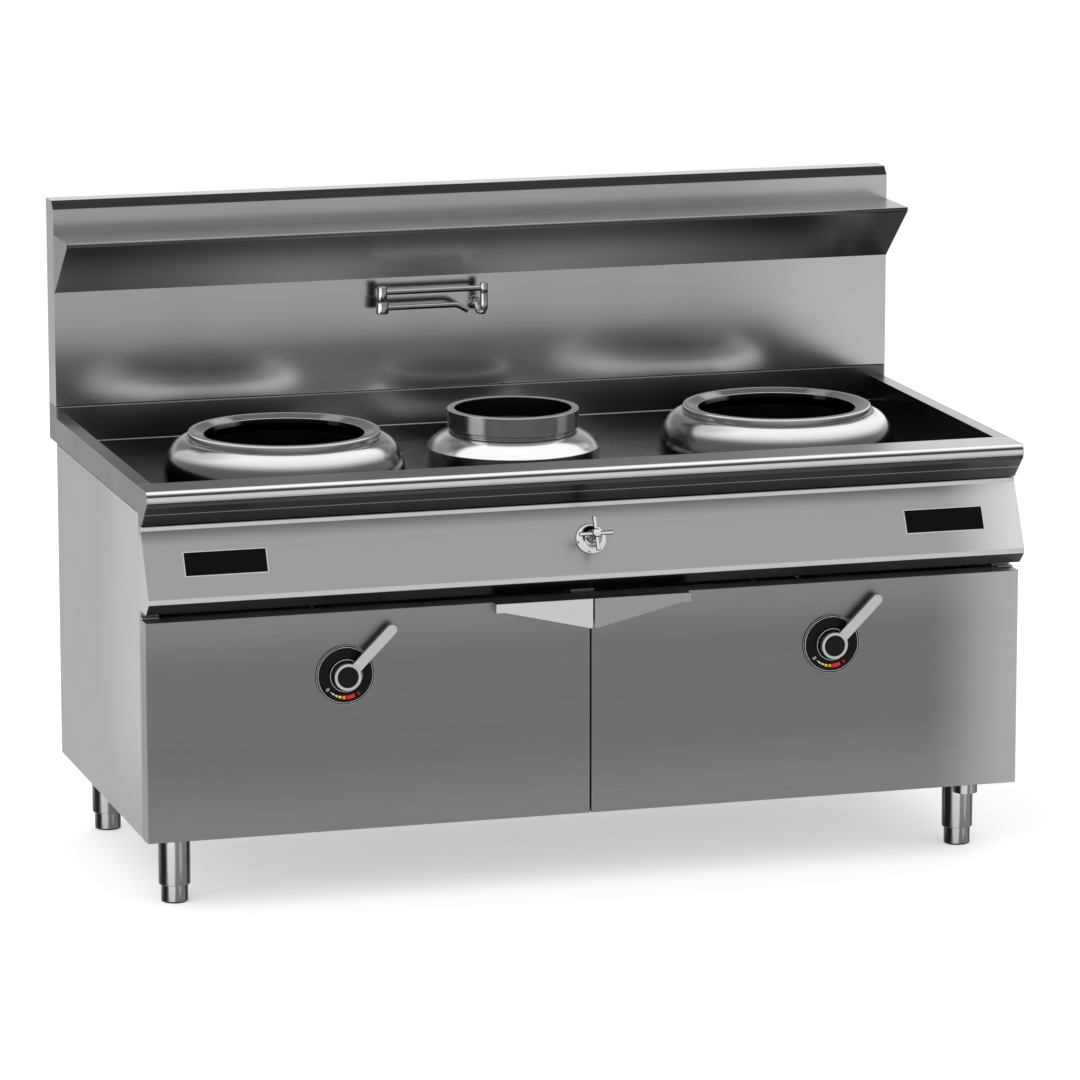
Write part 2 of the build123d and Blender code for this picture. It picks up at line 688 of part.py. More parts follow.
def pot_flue_box():
    """Closed drum below the pot ring, with a duct to each combustion bowl."""
    end = WOK_X - PORT_REACH
    drum = rod((0, POT_Y, 650), (0, POT_Y, PAN_FLOOR - FLOOR_SHEET), 150)
    drum += block(-end, end, 436, 524, 684, 744)
    drum -= rod((0, POT_Y, 652), (0, POT_Y, PAN_FLOOR), 148)
    return drum - block(-end - 1, end + 1, 438, 522, 686, 742)


def wok_dome(side):
    """Spun dome: an upright wall from the pan floor, a quarter ellipse and a flat ledge for the ring."""
    inside = DOME_R - SHEET
    edges = [
        Line((DOME_R, PAN_FLOOR), (DOME_R, DOME_EDGE)),
        EllipticalCenterArc((DOME_SHOULDER_R, DOME_EDGE), DOME_R - DOME_SHOULDER_R, DOME_TOP - DOME_EDGE, arc_size=90),
        Line((DOME_SHOULDER_R, DOME_TOP), (DOME_LEDGE_R, DOME_TOP)),
        Line((DOME_LEDGE_R, DOME_TOP), (DOME_LEDGE_R, DOME_TOP - SHEET)),
        Line((DOME_LEDGE_R, DOME_TOP - SHEET), (DOME_SHOULDER_R, DOME_TOP - SHEET)),
        EllipticalCenterArc(
            (DOME_SHOULDER_R, DOME_EDGE), inside - DOME_SHOULDER_R, DOME_TOP - SHEET - DOME_EDGE, arc_size=90
        ),
        Line((inside, DOME_EDGE), (inside, PAN_FLOOR)),
        Line((inside, PAN_FLOOR), (DOME_R, PAN_FLOOR)),
    ]
    return Pos(side * WOK_X, WOK_Y, 0) * revolve(Plane.XZ * make_face(edges), Axis.Z)


def pot_dome():
    """Low spun dome: an upright wall with a proud edge, a shallow crown and a flat ledge for the ring."""
    wall = POT_DOME_R - 1.5
    crown = 132.0
    edges = [
        Line((wall, PAN_FLOOR), (wall, POT_DOME_EDGE - 1)),
        Line((wall, POT_DOME_EDGE - 1), (POT_DOME_R, POT_DOME_EDGE)),
        ThreePointArc((POT_DOME_R, POT_DOME_EDGE), (160, 815.5), (crown, POT_DOME_TOP)),
        Line((crown, POT_DOME_TOP), (POT_LEDGE_R, POT_DOME_TOP)),
        Line((POT_LEDGE_R, POT_DOME_TOP), (POT_LEDGE_R, POT_DOME_TOP - SHEET)),
        Line((POT_LEDGE_R, POT_DOME_TOP - SHEET), (crown, POT_DOME_TOP - SHEET)),
        ThreePointArc((crown, POT_DOME_TOP - SHEET), (158.8, 813.8), (wall - SHEET, POT_DOME_EDGE)),
        Line((wall - SHEET, POT_DOME_EDGE), (wall - SHEET, PAN_FLOOR)),
        Line((wall - SHEET, PAN_FLOOR), (wall, PAN_FLOOR)),
    ]
    return Pos(0, POT_Y, 0) * revolve(Plane.XZ * make_face(edges), Axis.Z)


def wok_ring(side):
    """Lift-off ring that carries the wok: seat sloping in to the hole, flat crest, wall and a spigot into the dome."""
    section = [
        (WOK_HOLE_R, 864),
        (WOK_HOLE_R, 873.4),
        (WOK_HOLE_R + 1.6, 875),
        (181, WOK_RIM_TOP),
        (WOK_RIM_R - 3.2, WOK_RIM_TOP),
        (WOK_RIM_R - 0.8, 879.6),
        (WOK_RIM_R, 877),
        (WOK_RIM_R, DOME_TOP + 0.3),
        (179, DOME_TOP + 0.3),
        (179, 852),
        (171, 852),
        (168, 858),
    ]
    return turned(section, side * WOK_X, WOK_Y)


def pot_ring():
    """Lift-off pot ring: a band above a narrower neck, with a spigot into the dome."""
    section = [
        (114, 812),
        (120.5, 812),
        (120.5, POT_DOME_TOP + 0.3),
        (130, POT_DOME_TOP + 0.3),
        (130, POT_BAND_BOTTOM),
        (POT_BAND_R - 1, POT_BAND_BOTTOM),
        (POT_BAND_R, POT_BAND_BOTTOM + 1),
        (POT_BAND_R, POT_TOP - 2),
        (POT_BAND_R - 2, POT_TOP),
        (POT_HOLE_R + 2, POT_TOP),
        (POT_HOLE_R, POT_TOP - 2),
        (POT_HOLE_R, 833),
        (114, 826),
    ]
    return turned(section, 0, POT_Y)


# ---------------------------------------------------------------- water and waste


def tap_escutcheon():
    """Bell-shaped cover plate of the tap."""
    section = make_face(
        Polyline((12.3, 0.1), (31, 0.1), (31, 2), (28, 4), (21, 7.5), (17, 11.5), (15, 15), (12.3, 15), close=True)
    )
    return face_plane(0, FACE_MID_Z) * revolve(Plane.XZ * section, Axis.Z)


def tap_body():
    """Tap valve: shank through the fascia, cross bar with its two ports, nut and packing gland."""
    shank = Pos(0, 0, -15) * Cylinder(12, 60)
    nut = Pos(0, 0, 15) * extrude(RegularPolygon(14, 6), 8)
    gland = Pos(0, 0, 26) * Cylinder(9, 7)
    bar = Pos(0, 0, -30) * Rot(0, 90, 0) * Cylinder(11, 76)
    bore = Pos(0, 0, 16) * Cylinder(5 + FIT, 32)
    return face_plane(0, FACE_MID_Z) * (shank + nut + gland + bar - bore)


def tap_cross_handle():
    """Cross handle with four round spokes, on the tap's spindle."""
    hub = Pos(0, 0, 42) * Cylinder(9, 18)
    hub = fillet(hub.faces().sort_by(Axis.Z)[-1].edges(), 2.0)
    handle = hub + Pos(0, 0, 19) * Cylinder(5, 34)
    for n in range(4):
        spoke = Pos(17.4, 0, 42) * Rot(0, 90, 0) * Cylinder(4.5, 34.8)
        handle += Rot(0, 0, 90 * n) * spoke
    return face_plane(0, FACE_MID_Z) * handle


def water_pipes():
    """Supply pipe to the tap, transfer pipe to the rear and riser inside the splashback."""
    tee = face_plane(0, FACE_MID_Z).from_local_coords(Vector(0, 0, -30))
    supply = pipe(
        [(38, tee.Y, tee.Z), (52, tee.Y, tee.Z), (52, 120, tee.Z), (52, 120, 630), (52, PIPE_END_Y, 630)],
        7.5, 6, 9,
    )
    supply += rod((52, PIPE_END_Y - 26, 630), (52, PIPE_END_Y, 630), 13)
    supply -= rod((52, PIPE_END_Y - 28, 630), (52, PIPE_END_Y + 1, 630), 6)
    supply -= rod((52, PIPE_END_Y - 22, 630), (52, PIPE_END_Y + 1, 630), WATER_INLET_R)
    transfer = pipe(
        [(-38, tee.Y, tee.Z), (-52, tee.Y, tee.Z), (-52, 130, tee.Z), (-52, 130, 610), (-52, 832, 610)],
        7.5, 6, 9,
    )
    elbow = rod((-52, 834, 610), (-52, 857, 610), 12) + rod((-52, 847, 608), (-52, 847, 630), 12)
    riser = pipe([(-52, 847, 632), (-52, 847, 1052), (-10, 847, 1052), (-10, SPLASH_FRONT, 1052)], 7.5, 6, 14)
    return [supply, transfer, elbow, riser]


def spout_wall_elbow():
    """Fixed part of the spout: wall flange, nut, swan-neck elbow and the post with its pivot."""
    flange = rod((-10, 811.5, 1052), (-10, SPLASH_FRONT, 1052), 14)
    nut = rod((-10, 796, 1052), (-10, 812, 1052), 9)
    path = FilletPolyline(
        (-10, 800, 1052), (-10, 784, 1037), (0, SPOUT_Y, 1037), (0, SPOUT_Y, 1052), radius=[8, 8]
    )
    neck = sweep(Plane(origin=path @ 0, z_dir=path % 0) * Circle(5.5), path=path)
    post = rod((0, SPOUT_Y, 1045), (0, SPOUT_Y, 1078), 8)
    pivot = rod((0, SPOUT_Y, 1078), (0, SPOUT_Y, 1096), 5)
    return flange + nut + neck + post + pivot


def spout_upper_arm():
    """Swinging upper arm: collar on the post, tube, and the second post with its pivot."""
    collar = rod((0, SPOUT_Y, 1078.4), (0, SPOUT_Y, 1100), 8)
    collar -= rod((0, SPOUT_Y, 1078), (0, SPOUT_Y, 1096.4), 5 + FIT)
    tube = rod((-6.5, SPOUT_Y, 1088.5), (-ARM_LENGTH + 5, SPOUT_Y, 1088.5), ARM_R)
    post = rod((-ARM_LENGTH, SPOUT_Y, 1069), (-ARM_LENGTH, SPOUT_Y, 1101), 10)
    pivot = rod((-ARM_LENGTH, SPOUT_Y, 1047), (-ARM_LENGTH, SPOUT_Y, 1070), 6)
    return collar + tube + post + pivot


def spout_lower_arm():
    """Swinging outlet arm: sleeve on the second post, tube and turned-down tip with its bore."""
    sleeve = rod((-ARM_LENGTH, SPOUT_Y, 1044), (-ARM_LENGTH, SPOUT_Y, 1068.6), 13)
    sleeve -= rod((-ARM_LENGTH, SPOUT_Y, 1046.6), (-ARM_LENGTH, SPOUT_Y, 1069), 6 + FIT)
    path = FilletPolyline(
        (-ARM_LENGTH + 11, SPOUT_Y, 1056), (-58, SPOUT_Y, 1056), (-35, SPOUT_Y, 1043), radius=26
    )
    tube = sweep(Plane(origin=path @ 0, z_dir=path % 0) * Circle(ARM_R), path=path)
    tip = path @ 1
    back = tip - (path % 1) * 9
    return sleeve + tube - rod(tuple(back), tuple(tip + path % 1), 4.2)


def waste_strainer():
    """Lift-off strainer in the pan floor."""
    low = PAN_FLOOR - 11
    plate = rod((WASTE_X, WASTE_Y, PAN_FLOOR + 0.3), (WASTE_X, WASTE_Y, PAN_FLOOR + 2.3), 34)
    ring = rod((WASTE_X, WASTE_Y, low), (WASTE_X, WASTE_Y, PAN_FLOOR + 1), 21)
    plate += ring - rod((WASTE_X, WASTE_Y, low - 1), (WASTE_X, WASTE_Y, PAN_FLOOR + 1), 19.5)
    for n in range(6):
        angle = math.radians(60 * n)
        x = WASTE_X + 12 * math.cos(angle)
        y = WASTE_Y + 12 * math.sin(angle)
        plate -= rod((x, y, low - 1), (x, y, PAN_FLOOR + 9), 3)
    return plate


def waste_pipe():
    """Waste pipe: tail piece below the pan, drop behind the door and a socket that shows below the cabinet."""
    floor = BODY_BOTTOM + 0.3
    ceiling = PAN_FLOOR - FLOOR_SHEET
    cup = ceiling - 55
    points = [(WASTE_X, WASTE_Y, cup), (WASTE_X, WASTE_Y, 560), (WASTE_X, DROP_Y, 470), (WASTE_X, DROP_Y, floor)]
    run = pipe(points, DROP_R, DROP_R - 2, 45)
    tail = rod((WASTE_X, WASTE_Y, cup - 2), (WASTE_X, WASTE_Y, ceiling), WASTE_R)
    tail += rod((WASTE_X, WASTE_Y, ceiling - 3), (WASTE_X, WASTE_Y, ceiling), 34)
    tail -= rod((WASTE_X, WASTE_Y, cup), (WASTE_X, WASTE_Y, ceiling + 1), WASTE_R - 2)
    tail -= rod((WASTE_X, WASTE_Y, cup - 3), (WASTE_X, WASTE_Y, cup + 1), DROP_R - 2)
    socket = rod((WASTE_X, STUB_Y, STUB_BOTTOM), (WASTE_X, STUB_Y, floor), WASTE_R)
    socket -= block(WASTE_X - WASTE_R, WASTE_X + WASTE_R, 0, SIDE_FRONT - 1, floor - 1, floor + 1)
    socket -= rod((WASTE_X, STUB_Y, STUB_BOTTOM - 1), (WASTE_X, STUB_Y, floor - 3), WASTE_R - 2)
    socket -= rod((WASTE_X, DROP_Y, floor - 4), (WASTE_X, DROP_Y, floor + 1), DROP_R - 2)
    return run + tail + socket


# ---------------------------------------------------------------- legs


def leg_places():
    """The four leg positions as (x, y)."""
    return [(x, y) for x in (-LEG_X, LEG_X) for y in (LEG_FRONT_Y, LEG_REAR_Y)]


def leg_tube(x, y):
    """Round leg tube with a nut plate inside for the foot's screw."""
    tube = rod((x, y, LEG_BOTTOM), (x, y, BODY_BOTTOM), LEG_R)
    tube -= rod((x, y, LEG_BOTTOM - 1), (x, y, BODY_BOTTOM + 1), BOOT_R + 1)
    nut = rod((x, y, 118), (x, y, 126), BOOT_R + 1.5) - rod((x, y, 117), (x, y, 127), 8 + FIT)
    return tube + nut


def levelling_foot(x, y):
    """Boot that slides in the leg tube on a screw stem."""
    boot = rod((x, y, 0), (x, y, 72), BOOT_R)
    boot = fillet(boot.faces().sort_by(Axis.Z)[0].edges(), 2.5)
    return boot + rod((x, y, 70), (x, y, 140), 8)


def build_cabinet():
    """Write the cabinet's nodes."""
    write("left_side_panel", side_panel(-1))
    write("right_side_panel", side_panel(1))
    write("rear_panel", rear_panel())
    write("base_panel", base_panel())
    rear_rail_z = PAN_FLOOR - FLOOR_SHEET - RAIL_HEIGHT
    write(
        "frame_rails",
        box_rail(LEG_FRONT_Y, BODY_BOTTOM + SHEET),
        box_rail(LEG_REAR_Y, BODY_BOTTOM + SHEET),
        box_rail(BODY_REAR - 25, rear_rail_z),
    )
    write("front_header", front_header())
    write("centre_post", centre_post())
    write("door_hinges", *[hinge_bracket(side, top) for side in (-1, 1) for top in (False, True)])


def build_top():
    """Write the hob's, splashback's and fascia's nodes."""
    write("hob_floor", hob_floor())
    write("hob_front_nosing", front_nosing())
    write("hob_left_rim", hob_rim(-1))
    write("hob_right_rim", hob_rim(1))
    write("hob_rear_upstand", rear_upstand())
    write("splashback_skin", splashback_skin())
    write("splashback_rear_cover", splashback_rear_cover())
    write("shelf", shelf())
    write("control_fascia", control_fascia())
    write("fascia_windows", window(-WINDOW_X), window(WINDOW_X))


def build_sides():
    """Write the nodes that come once for each side."""
    for name, side in (("left", -1), ("right", 1)):
        write(f"{name}_door_skin", door_skin(side))
        write(f"{name}_door_liner", door_liner(side))
        write(f"{name}_door_pull", door_pull(side))
        write(f"{name}_dial_plate", dial_plate(side))
        write(f"{name}_knee_lever", knee_lever(side))
        write(f"{name}_lever_cap", lever_cap(side))
        write(f"{name}_lever_spindle", lever_spindle(side))
        write(f"{name}_valve_stem", valve_stem(side))
        write(f"{name}_burner", burner(side))
        write(f"{name}_combustion_bowl", *combustion_bowl(side))
        write(f"{name}_wok_dome", wok_dome(side))
        write(f"{name}_wok_ring", wok_ring(side))


def build_services():
    """Write the pot unit, the gas train, the water and waste pieces and the legs."""
    write("pot_ring", pot_ring())
    write("pot_dome", pot_dome())
    write("pot_flue_box", pot_flue_box())
    write("gas_valves", gas_valve(-1), gas_valve(1))
    write("gas_manifold", *gas_manifold())
    write("burner_pipes", burner_pipe(-1), burner_pipe(1))
    write("pilot_burners", pilot_burner(-1), pilot_burner(1))
    write("tap_escutcheon", tap_escutcheon())
    write("tap_body", tap_body())
    write("tap_cross_handle", tap_cross_handle())
    write("water_pipes", *water_pipes())
    write("spout_wall_elbow", spout_wall_elbow())
    write("spout_upper_arm", spout_upper_arm())
    write("spout_lower_arm", spout_lower_arm())
    write("waste_strainer", waste_strainer())
    write("waste_pipe", waste_pipe())
    write("leg_tubes", *[leg_tube(x, y) for x, y in leg_places()])
    write("levelling_feet", *[levelling_foot(x, y) for x, y in leg_places()])


def main():
    """Build the whole range."""
    os.makedirs("parts", exist_ok=True)
    build_cabinet()
    build_top()
    build_sides()
    build_services()


main()
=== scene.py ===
"""Finishes and smooth-formed pieces of a free-standing wok range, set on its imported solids.

Sizes are in millimetres.  Y is counted back from the doors' front face and Z up from the floor, as in
the source of the solids; Place turns such a point into the frame's metres.
"""

from __future__ import annotations

import logging
import math
from dataclasses import dataclass
from enum import Enum
from typing import Iterable, Sequence

import bmesh
import bpy
from mathutils import Matrix, Vector

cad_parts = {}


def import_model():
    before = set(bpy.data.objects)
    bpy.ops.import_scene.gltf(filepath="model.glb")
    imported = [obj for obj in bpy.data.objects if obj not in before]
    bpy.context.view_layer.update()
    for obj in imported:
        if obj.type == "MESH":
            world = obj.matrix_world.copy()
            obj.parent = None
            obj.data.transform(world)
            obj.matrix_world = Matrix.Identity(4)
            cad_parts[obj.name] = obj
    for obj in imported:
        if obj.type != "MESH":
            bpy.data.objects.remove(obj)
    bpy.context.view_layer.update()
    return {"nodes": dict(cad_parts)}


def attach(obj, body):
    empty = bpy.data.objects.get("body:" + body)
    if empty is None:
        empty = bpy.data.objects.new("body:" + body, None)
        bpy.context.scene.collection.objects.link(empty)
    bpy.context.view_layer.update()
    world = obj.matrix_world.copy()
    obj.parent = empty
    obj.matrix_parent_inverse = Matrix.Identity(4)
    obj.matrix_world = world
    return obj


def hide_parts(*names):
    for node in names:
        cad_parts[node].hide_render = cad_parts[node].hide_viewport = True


LOG = logging.getLogger("wok_range")

MM = 0.001
CENTRE_Y = 411.92  # middle of the part's depth, counted back from the doors' front face
SHEET = 2.0  # thickness of formed sheets
SMOOTH_ANGLE = math.radians(38)
WOK_X, WOK_Y = 520.0, 406.0  # middle of a wok place
POT_Y = 554.0  # middle of the pot place
BAND_TOP_Y, BAND_TOP_Z = 31.0, 765.0  # a point of the control band's sloping face

Profile = Sequence[tuple[float, float]]
Triple = tuple[float, float, float]
Tone = tuple[float, float, float, float]
ACROSS, BACK, UP = Vector((1.0, 0.0, 0.0)), Vector((0.0, 1.0, 0.0)), Vector((0.0, 0.0, 1.0))
WHITE: Tone = (1.0, 1.0, 1.0, 1.0)


def grey(level: float) -> float:
    """Linear share of light of a display level from 0 to 255."""
    share = level / 255
    return share / 12.92 if share <= 0.04045 else ((share + 0.055) / 1.055) ** 2.4


class Place:
    """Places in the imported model's frame."""

    @staticmethod
    def point(x: float, y: float, z: float) -> Vector:
        """Point in metres for a point in the source's millimetres."""
        return Vector((x * MM, (y - CENTRE_Y) * MM, z * MM))

    @staticmethod
    def upright(x: float, y: float, z: float = 0.0) -> Matrix:
        """Matrix of a piece that stands on the point without turning."""
        return Matrix.Translation(Place.point(x, y, z))

    @staticmethod
    def facing(x: float, y: float, z: float, across: Vector, up: Vector) -> Matrix:
        """Matrix whose local X runs across, local Y up and local Z out of a face.

        Args:
            x, y, z: Origin in millimetres.
            across: Direction of local X.
            up: Direction of local Y.

        Returns:
            The matrix, in metres.
        """
        out = across.cross(up)
        turn = Matrix((across, up, out)).transposed().to_4x4()
        return Matrix.Translation(Place.point(x, y, z)) @ turn

    @staticmethod
    def section() -> Matrix:
        """Matrix of a section drawn as (y, z), whose local Z runs along the width."""
        return Place.facing(0.0, 0.0, 0.0, BACK, UP)

    @staticmethod
    def on_band(x: float, z: float) -> Matrix:
        """Matrix on the control band's sloping face at a height z."""
        slope = (BACK + 2 * UP).normalized()
        return Place.facing(x, BAND_TOP_Y - (BAND_TOP_Z - z) / 2, z, ACROSS, slope)


# ---------------------------------------------------------------- shaping


class Shape:
    """A mesh in the making: bmesh operators in millimetres, then a placed object."""

    def __init__(self) -> None:
        """Starts with nothing."""
        self.bm = bmesh.new()

    def spin(self, profile: Profile, steps: int = 96, angle: float = 360.0) -> Shape:
        """Spins a closed section about local Z.

        Args:
            profile: Section as (radius, height).
            steps: Steps round the circle.
            angle: Angle of the spin in degrees.

        Returns:
            This shape.
        """
        verts = [self.bm.verts.new((r, 0.0, z)) for r, z in profile]
        edges = [self.bm.edges.new(pair) for pair in zip(verts, [*verts[1:], verts[0]])]
        bmesh.ops.spin(
            self.bm,
            geom=verts + edges,
            cent=(0, 0, 0),
            axis=(0, 0, 1),
            angle=math.radians(angle),
            steps=steps,
            use_merge=angle >= 360.0,
        )
        return self.mend()

    def ringed(self, inner: float, outer: float, low: float, high: float, **options: float) -> Shape:
        """Spins a rectangular section between two radii and two heights."""
        return self.spin([(inner, low), (outer, low), (outer, high), (inner, high)], **options)

    def mend(self) -> Shape:
        """Merges doubles, drops faces without area and turns the faces outwards.

        Returns:
            This shape.
        """
        bmesh.ops.remove_doubles(self.bm, verts=self.bm.verts, dist=0.001)
        bmesh.ops.dissolve_degenerate(self.bm, edges=self.bm.edges, dist=0.001)
        bmesh.ops.recalc_face_normals(self.bm, faces=self.bm.faces)
        return self

    def slab(self, outline: Profile, low: float, high: float) -> Shape:
        """Extrudes a flat outline in local XY from one height to another.

        Args:
            outline: Corners of the outline.
            low: Height where it starts.
            high: Height where it ends.

        Returns:
            This shape.
        """
        verts = [self.bm.verts.new((x, y, low)) for x, y in outline]
        face = self.bm.faces.new(verts)
        out = bmesh.ops.extrude_face_region(self.bm, geom=[face])
        moved = [v for v in out["geom"] if isinstance(v, bmesh.types.BMVert)]
        bmesh.ops.translate(self.bm, verts=moved, vec=(0, 0, high - low))
        bmesh.ops.recalc_face_normals(self.bm, faces=self.bm.faces)
        return self

    def soften(self, width: float, segments: int = 3, sharper_than: float = 30.0) -> Shape:
        """Bevels every edge that is sharper than an angle in degrees.

        Args:
            width: Width of the bevel.
            segments: Steps across the bevel.
            sharper_than: Smallest angle of a bevelled edge.

        Returns:
            This shape.
        """
        limit = math.radians(sharper_than)
        edges = [e for e in self.bm.edges if len(e.link_faces) == 2 and e.calc_face_angle() > limit]
        bmesh.ops.bevel(
            self.bm,
            geom=edges,
            offset=width,
            segments=segments,
            profile=0.5,
            affect="EDGES",
            material=-1,
            clamp_overlap=True,
        )
        return self

    def turn(self, angle: float, axis: str = "Z") -> Shape:
        """Turns the shape about a local axis by an angle in degrees.

        Args:
            angle: Angle in degrees.
            axis: Letter of the axis.

        Returns:
            This shape.
        """
        turning = Matrix.Rotation(math.radians(angle), 3, axis)
        bmesh.ops.rotate(self.bm, verts=self.bm.verts, cent=(0, 0, 0), matrix=turning)
        return self

    def shift(self, x: float, y: float, z: float) -> Shape:
        """Moves the shape."""
        bmesh.ops.translate(self.bm, verts=self.bm.verts, vec=(x, y, z))
        return self

    def join(self, other: Shape) -> Shape:
        """Takes in another shape, which is used up.

        Args:
            other: The shape that is taken in.

        Returns:
            This shape.
        """
        mesh = bpy.data.meshes.new("joining")
        other.bm.to_mesh(mesh)
        other.bm.free()
        self.bm.from_mesh(mesh)
        bpy.data.meshes.remove(mesh)
        return self

    def paint(self, slot: int) -> Shape:
        """Gives all faces one material slot.

        Args:
            slot: Number of the slot.

        Returns:
            This shape.
        """
        for face in self.bm.faces:
            face.material_index = slot
        return self


def linked(name: str, data: bpy.types.ID) -> bpy.types.Object:
    """New object of the scene that shows the given data.

    Args:
        name: Name of the object.
        data: Mesh, curve, light or camera that it shows.

    Returns:
        The object.
    """
    obj = bpy.data.objects.new(name, data)
    bpy.context.scene.collection.objects.link(obj)
    return obj


def meshed(curve: bpy.types.Curve) -> Shape:
    """Shape of a curve or a text, which is used up.

    Args:
        curve: The curve or text.

    Returns:
        The shape, with its faces turned outwards.
    """
    holder = linked(curve.name, curve)
    graph = bpy.context.evaluated_depsgraph_get()
    mesh = bpy.data.meshes.new_from_object(holder.evaluated_get(graph))
    shape = Shape()
    shape.bm.from_mesh(mesh)
    bpy.data.objects.remove(holder)
    bpy.data.curves.remove(curve)
    bpy.data.meshes.remove(mesh)
    return shape.mend()


def tube(points: Sequence[Iterable[float]], radius: float) -> Shape:
    """Round rod through points in millimetres.

    Args:
        points: Points of the rod's middle line, close together in its bends.
        radius: Radius of the rod.

    Returns:
        The shape, with closed ends.
    """
    curve = bpy.data.curves.new("rod", "CURVE")
    curve.dimensions = "3D"
    curve.bevel_depth = radius
    curve.bevel_resolution = 6
    curve.use_fill_caps = True
    spline = curve.splines.new("POLY")
    spline.points.add(len(points) - 1)
    for target, point in zip(spline.points, points):
        target.co = (*point, 1.0)
    return meshed(curve)


def bent(start: Vector, corner: Vector, end: Vector, radius: float, steps: int = 10) -> list[Vector]:
    """Points of two straight runs with one rounded corner.

    Args:
        start: First point.
        corner: Where the runs would meet.
        end: Last point.
        radius: Radius of the bend.
        steps: Steps along the bend.

    Returns:
        The points, from start to end.
    """
    before = (start - corner).normalized()
    after = (end - corner).normalized()
    half = before.angle(after) / 2
    reach = radius / math.tan(half)
    centre = corner + (before + after).normalized() * (radius / math.sin(half))
    first = corner + before * reach - centre
    last = corner + after * reach - centre
    arc = [centre + first.slerp(last, n / steps).normalized() * radius for n in range(steps + 1)]
    return [start, *arc, end]


# ---------------------------------------------------------------- finishes


class Draft:
    """Adds and links the nodes of one node tree."""

    def __init__(self, tree: bpy.types.NodeTree) -> None:
        """Works on a node tree."""
        self.tree = tree

    def add(self, kind: str, **settings: object) -> bpy.types.Node:
        """Adds a node with the given settings.

        Args:
            kind: Kind of the node.
            **settings: Settings of the node, by name.

        Returns:
            The node.
        """
        node = self.tree.nodes.new(kind)
        for key, value in settings.items():
            setattr(node, key, value)
        return node

    def feed(self, socket: bpy.types.NodeSocket, value: object) -> None:
        """Links a socket's source, or sets its value.

        Args:
            socket: The input.
            value: A source to link or a value to set.
        """
        if isinstance(value, bpy.types.NodeSocket):
            self.tree.links.new(value, socket)
        else:
            socket.default_value = value

    def math(self, operation: str, *values: object, clamp: bool = False) -> bpy.types.NodeSocket:
        """Result of a Math node.

        Args:
            operation: What the node works out.
            *values: Its values or their sources.
            clamp: Whether the result stays between 0 and 1.

        Returns:
            Output of the node.
        """
        node = self.add("ShaderNodeMath", operation=operation, use_clamp=clamp)
        for socket, value in zip(node.inputs, values):
            self.feed(socket, value)
        return node.outputs[0]

    def vector(self, operation: str, a: object, b: object) -> bpy.types.Node:
        """Vector Math node with both of its vectors.

        Args:
            operation: What the node works out.
            a: First vector.
            b: Second vector.

        Returns:
            The node.
        """
        node = self.add("ShaderNodeVectorMath", operation=operation)
        self.feed(node.inputs[0], a)
        self.feed(node.inputs[1], b)
        return node

    def where(self, kind: str = "Object") -> bpy.types.NodeSocket:
        """The object's own coordinates, or its normal in them."""
        return self.add("ShaderNodeTexCoord").outputs[kind]

    def noise(self, place: object, scale: object = 1.0, detail: float = 2.0) -> bpy.types.NodeSocket:
        """Grey noise that is read at a place.

        Args:
            place: Where the noise is read.
            scale: How fine it is.
            detail: How many finer layers it has.

        Returns:
            Output of the noise.
        """
        node = self.add("ShaderNodeTexNoise")
        self.feed(node.inputs["Vector"], place)
        self.feed(node.inputs["Scale"], scale)
        node.inputs["Detail"].default_value = detail
        return node.outputs["Fac"]

    def mix(self, share: object, low: object, high: object) -> bpy.types.NodeSocket:
        """Colour mixed from low to high.

        Args:
            share: Share of the second colour.
            low: First colour.
            high: Second colour.

        Returns:
            Output of the mix.
        """
        node = self.add("ShaderNodeMix", data_type="RGBA")
        self.feed(node.inputs[0], share)
        self.feed(node.inputs[6], low)
        self.feed(node.inputs[7], high)
        return node.outputs[2]

    def group(self, tree: bpy.types.NodeTree, **values: object) -> bpy.types.Node:
        """Places a node group with its inputs' values.

        Args:
            tree: The shared node group.
            **values: Values or sources of its inputs, by name.

        Returns:
            The group's node.
        """
        node = self.add("ShaderNodeGroup", node_tree=tree)
        for key, value in values.items():
            self.feed(node.inputs[key], value)
        return node


class Effect:
    """One shared node group: it is made once and placed in each material with its own values."""

    NAME = "effect"
    INPUTS: tuple[tuple[str, str, object], ...] = ()
    OUTPUTS: tuple[tuple[str, str], ...] = ()

    def __init__(self) -> None:
        """Makes the group."""
        self.tree = bpy.data.node_groups.new(self.NAME, "ShaderNodeTree")
        for name, kind, value in self.INPUTS:
            socket = self.tree.interface.new_socket(name=name, in_out="INPUT", socket_type=kind)
            socket.default_value = value
        for name, kind in self.OUTPUTS:
            self.tree.interface.new_socket(name=name, in_out="OUTPUT", socket_type=kind)
        draft = Draft(self.tree)
        source = draft.add("NodeGroupInput")
        target = draft.add("NodeGroupOutput")
        self.fill(draft, source.outputs, target.inputs)

    def fill(self, draft: Draft, given: object, wanted: object) -> None:
        """Adds the group's own nodes between its inputs and its outputs."""
        raise NotImplementedError


class Grained(Effect):
    """Noise that gives a surface its fine lines."""

    OUTPUTS = (("Tone", "NodeSocketFloat"), ("Height", "NodeSocketFloat"))

    def fill(self, draft: Draft, given: object, wanted: object) -> None:
        """Reads a noise at the place that the kind of grain gives.

        Args:
            draft: Draft of the material's or the group's nodes.
            given: What the group is given, by name.
            wanted: What the group has to give, by name.
        """
        noise = draft.noise(self.place(draft, given))
        draft.feed(wanted["Tone"], noise)
        draft.feed(wanted["Height"], noise)

    def place(self, draft: Draft, given: object) -> bpy.types.NodeSocket:
        """Where the noise is read."""
        raise NotImplementedError


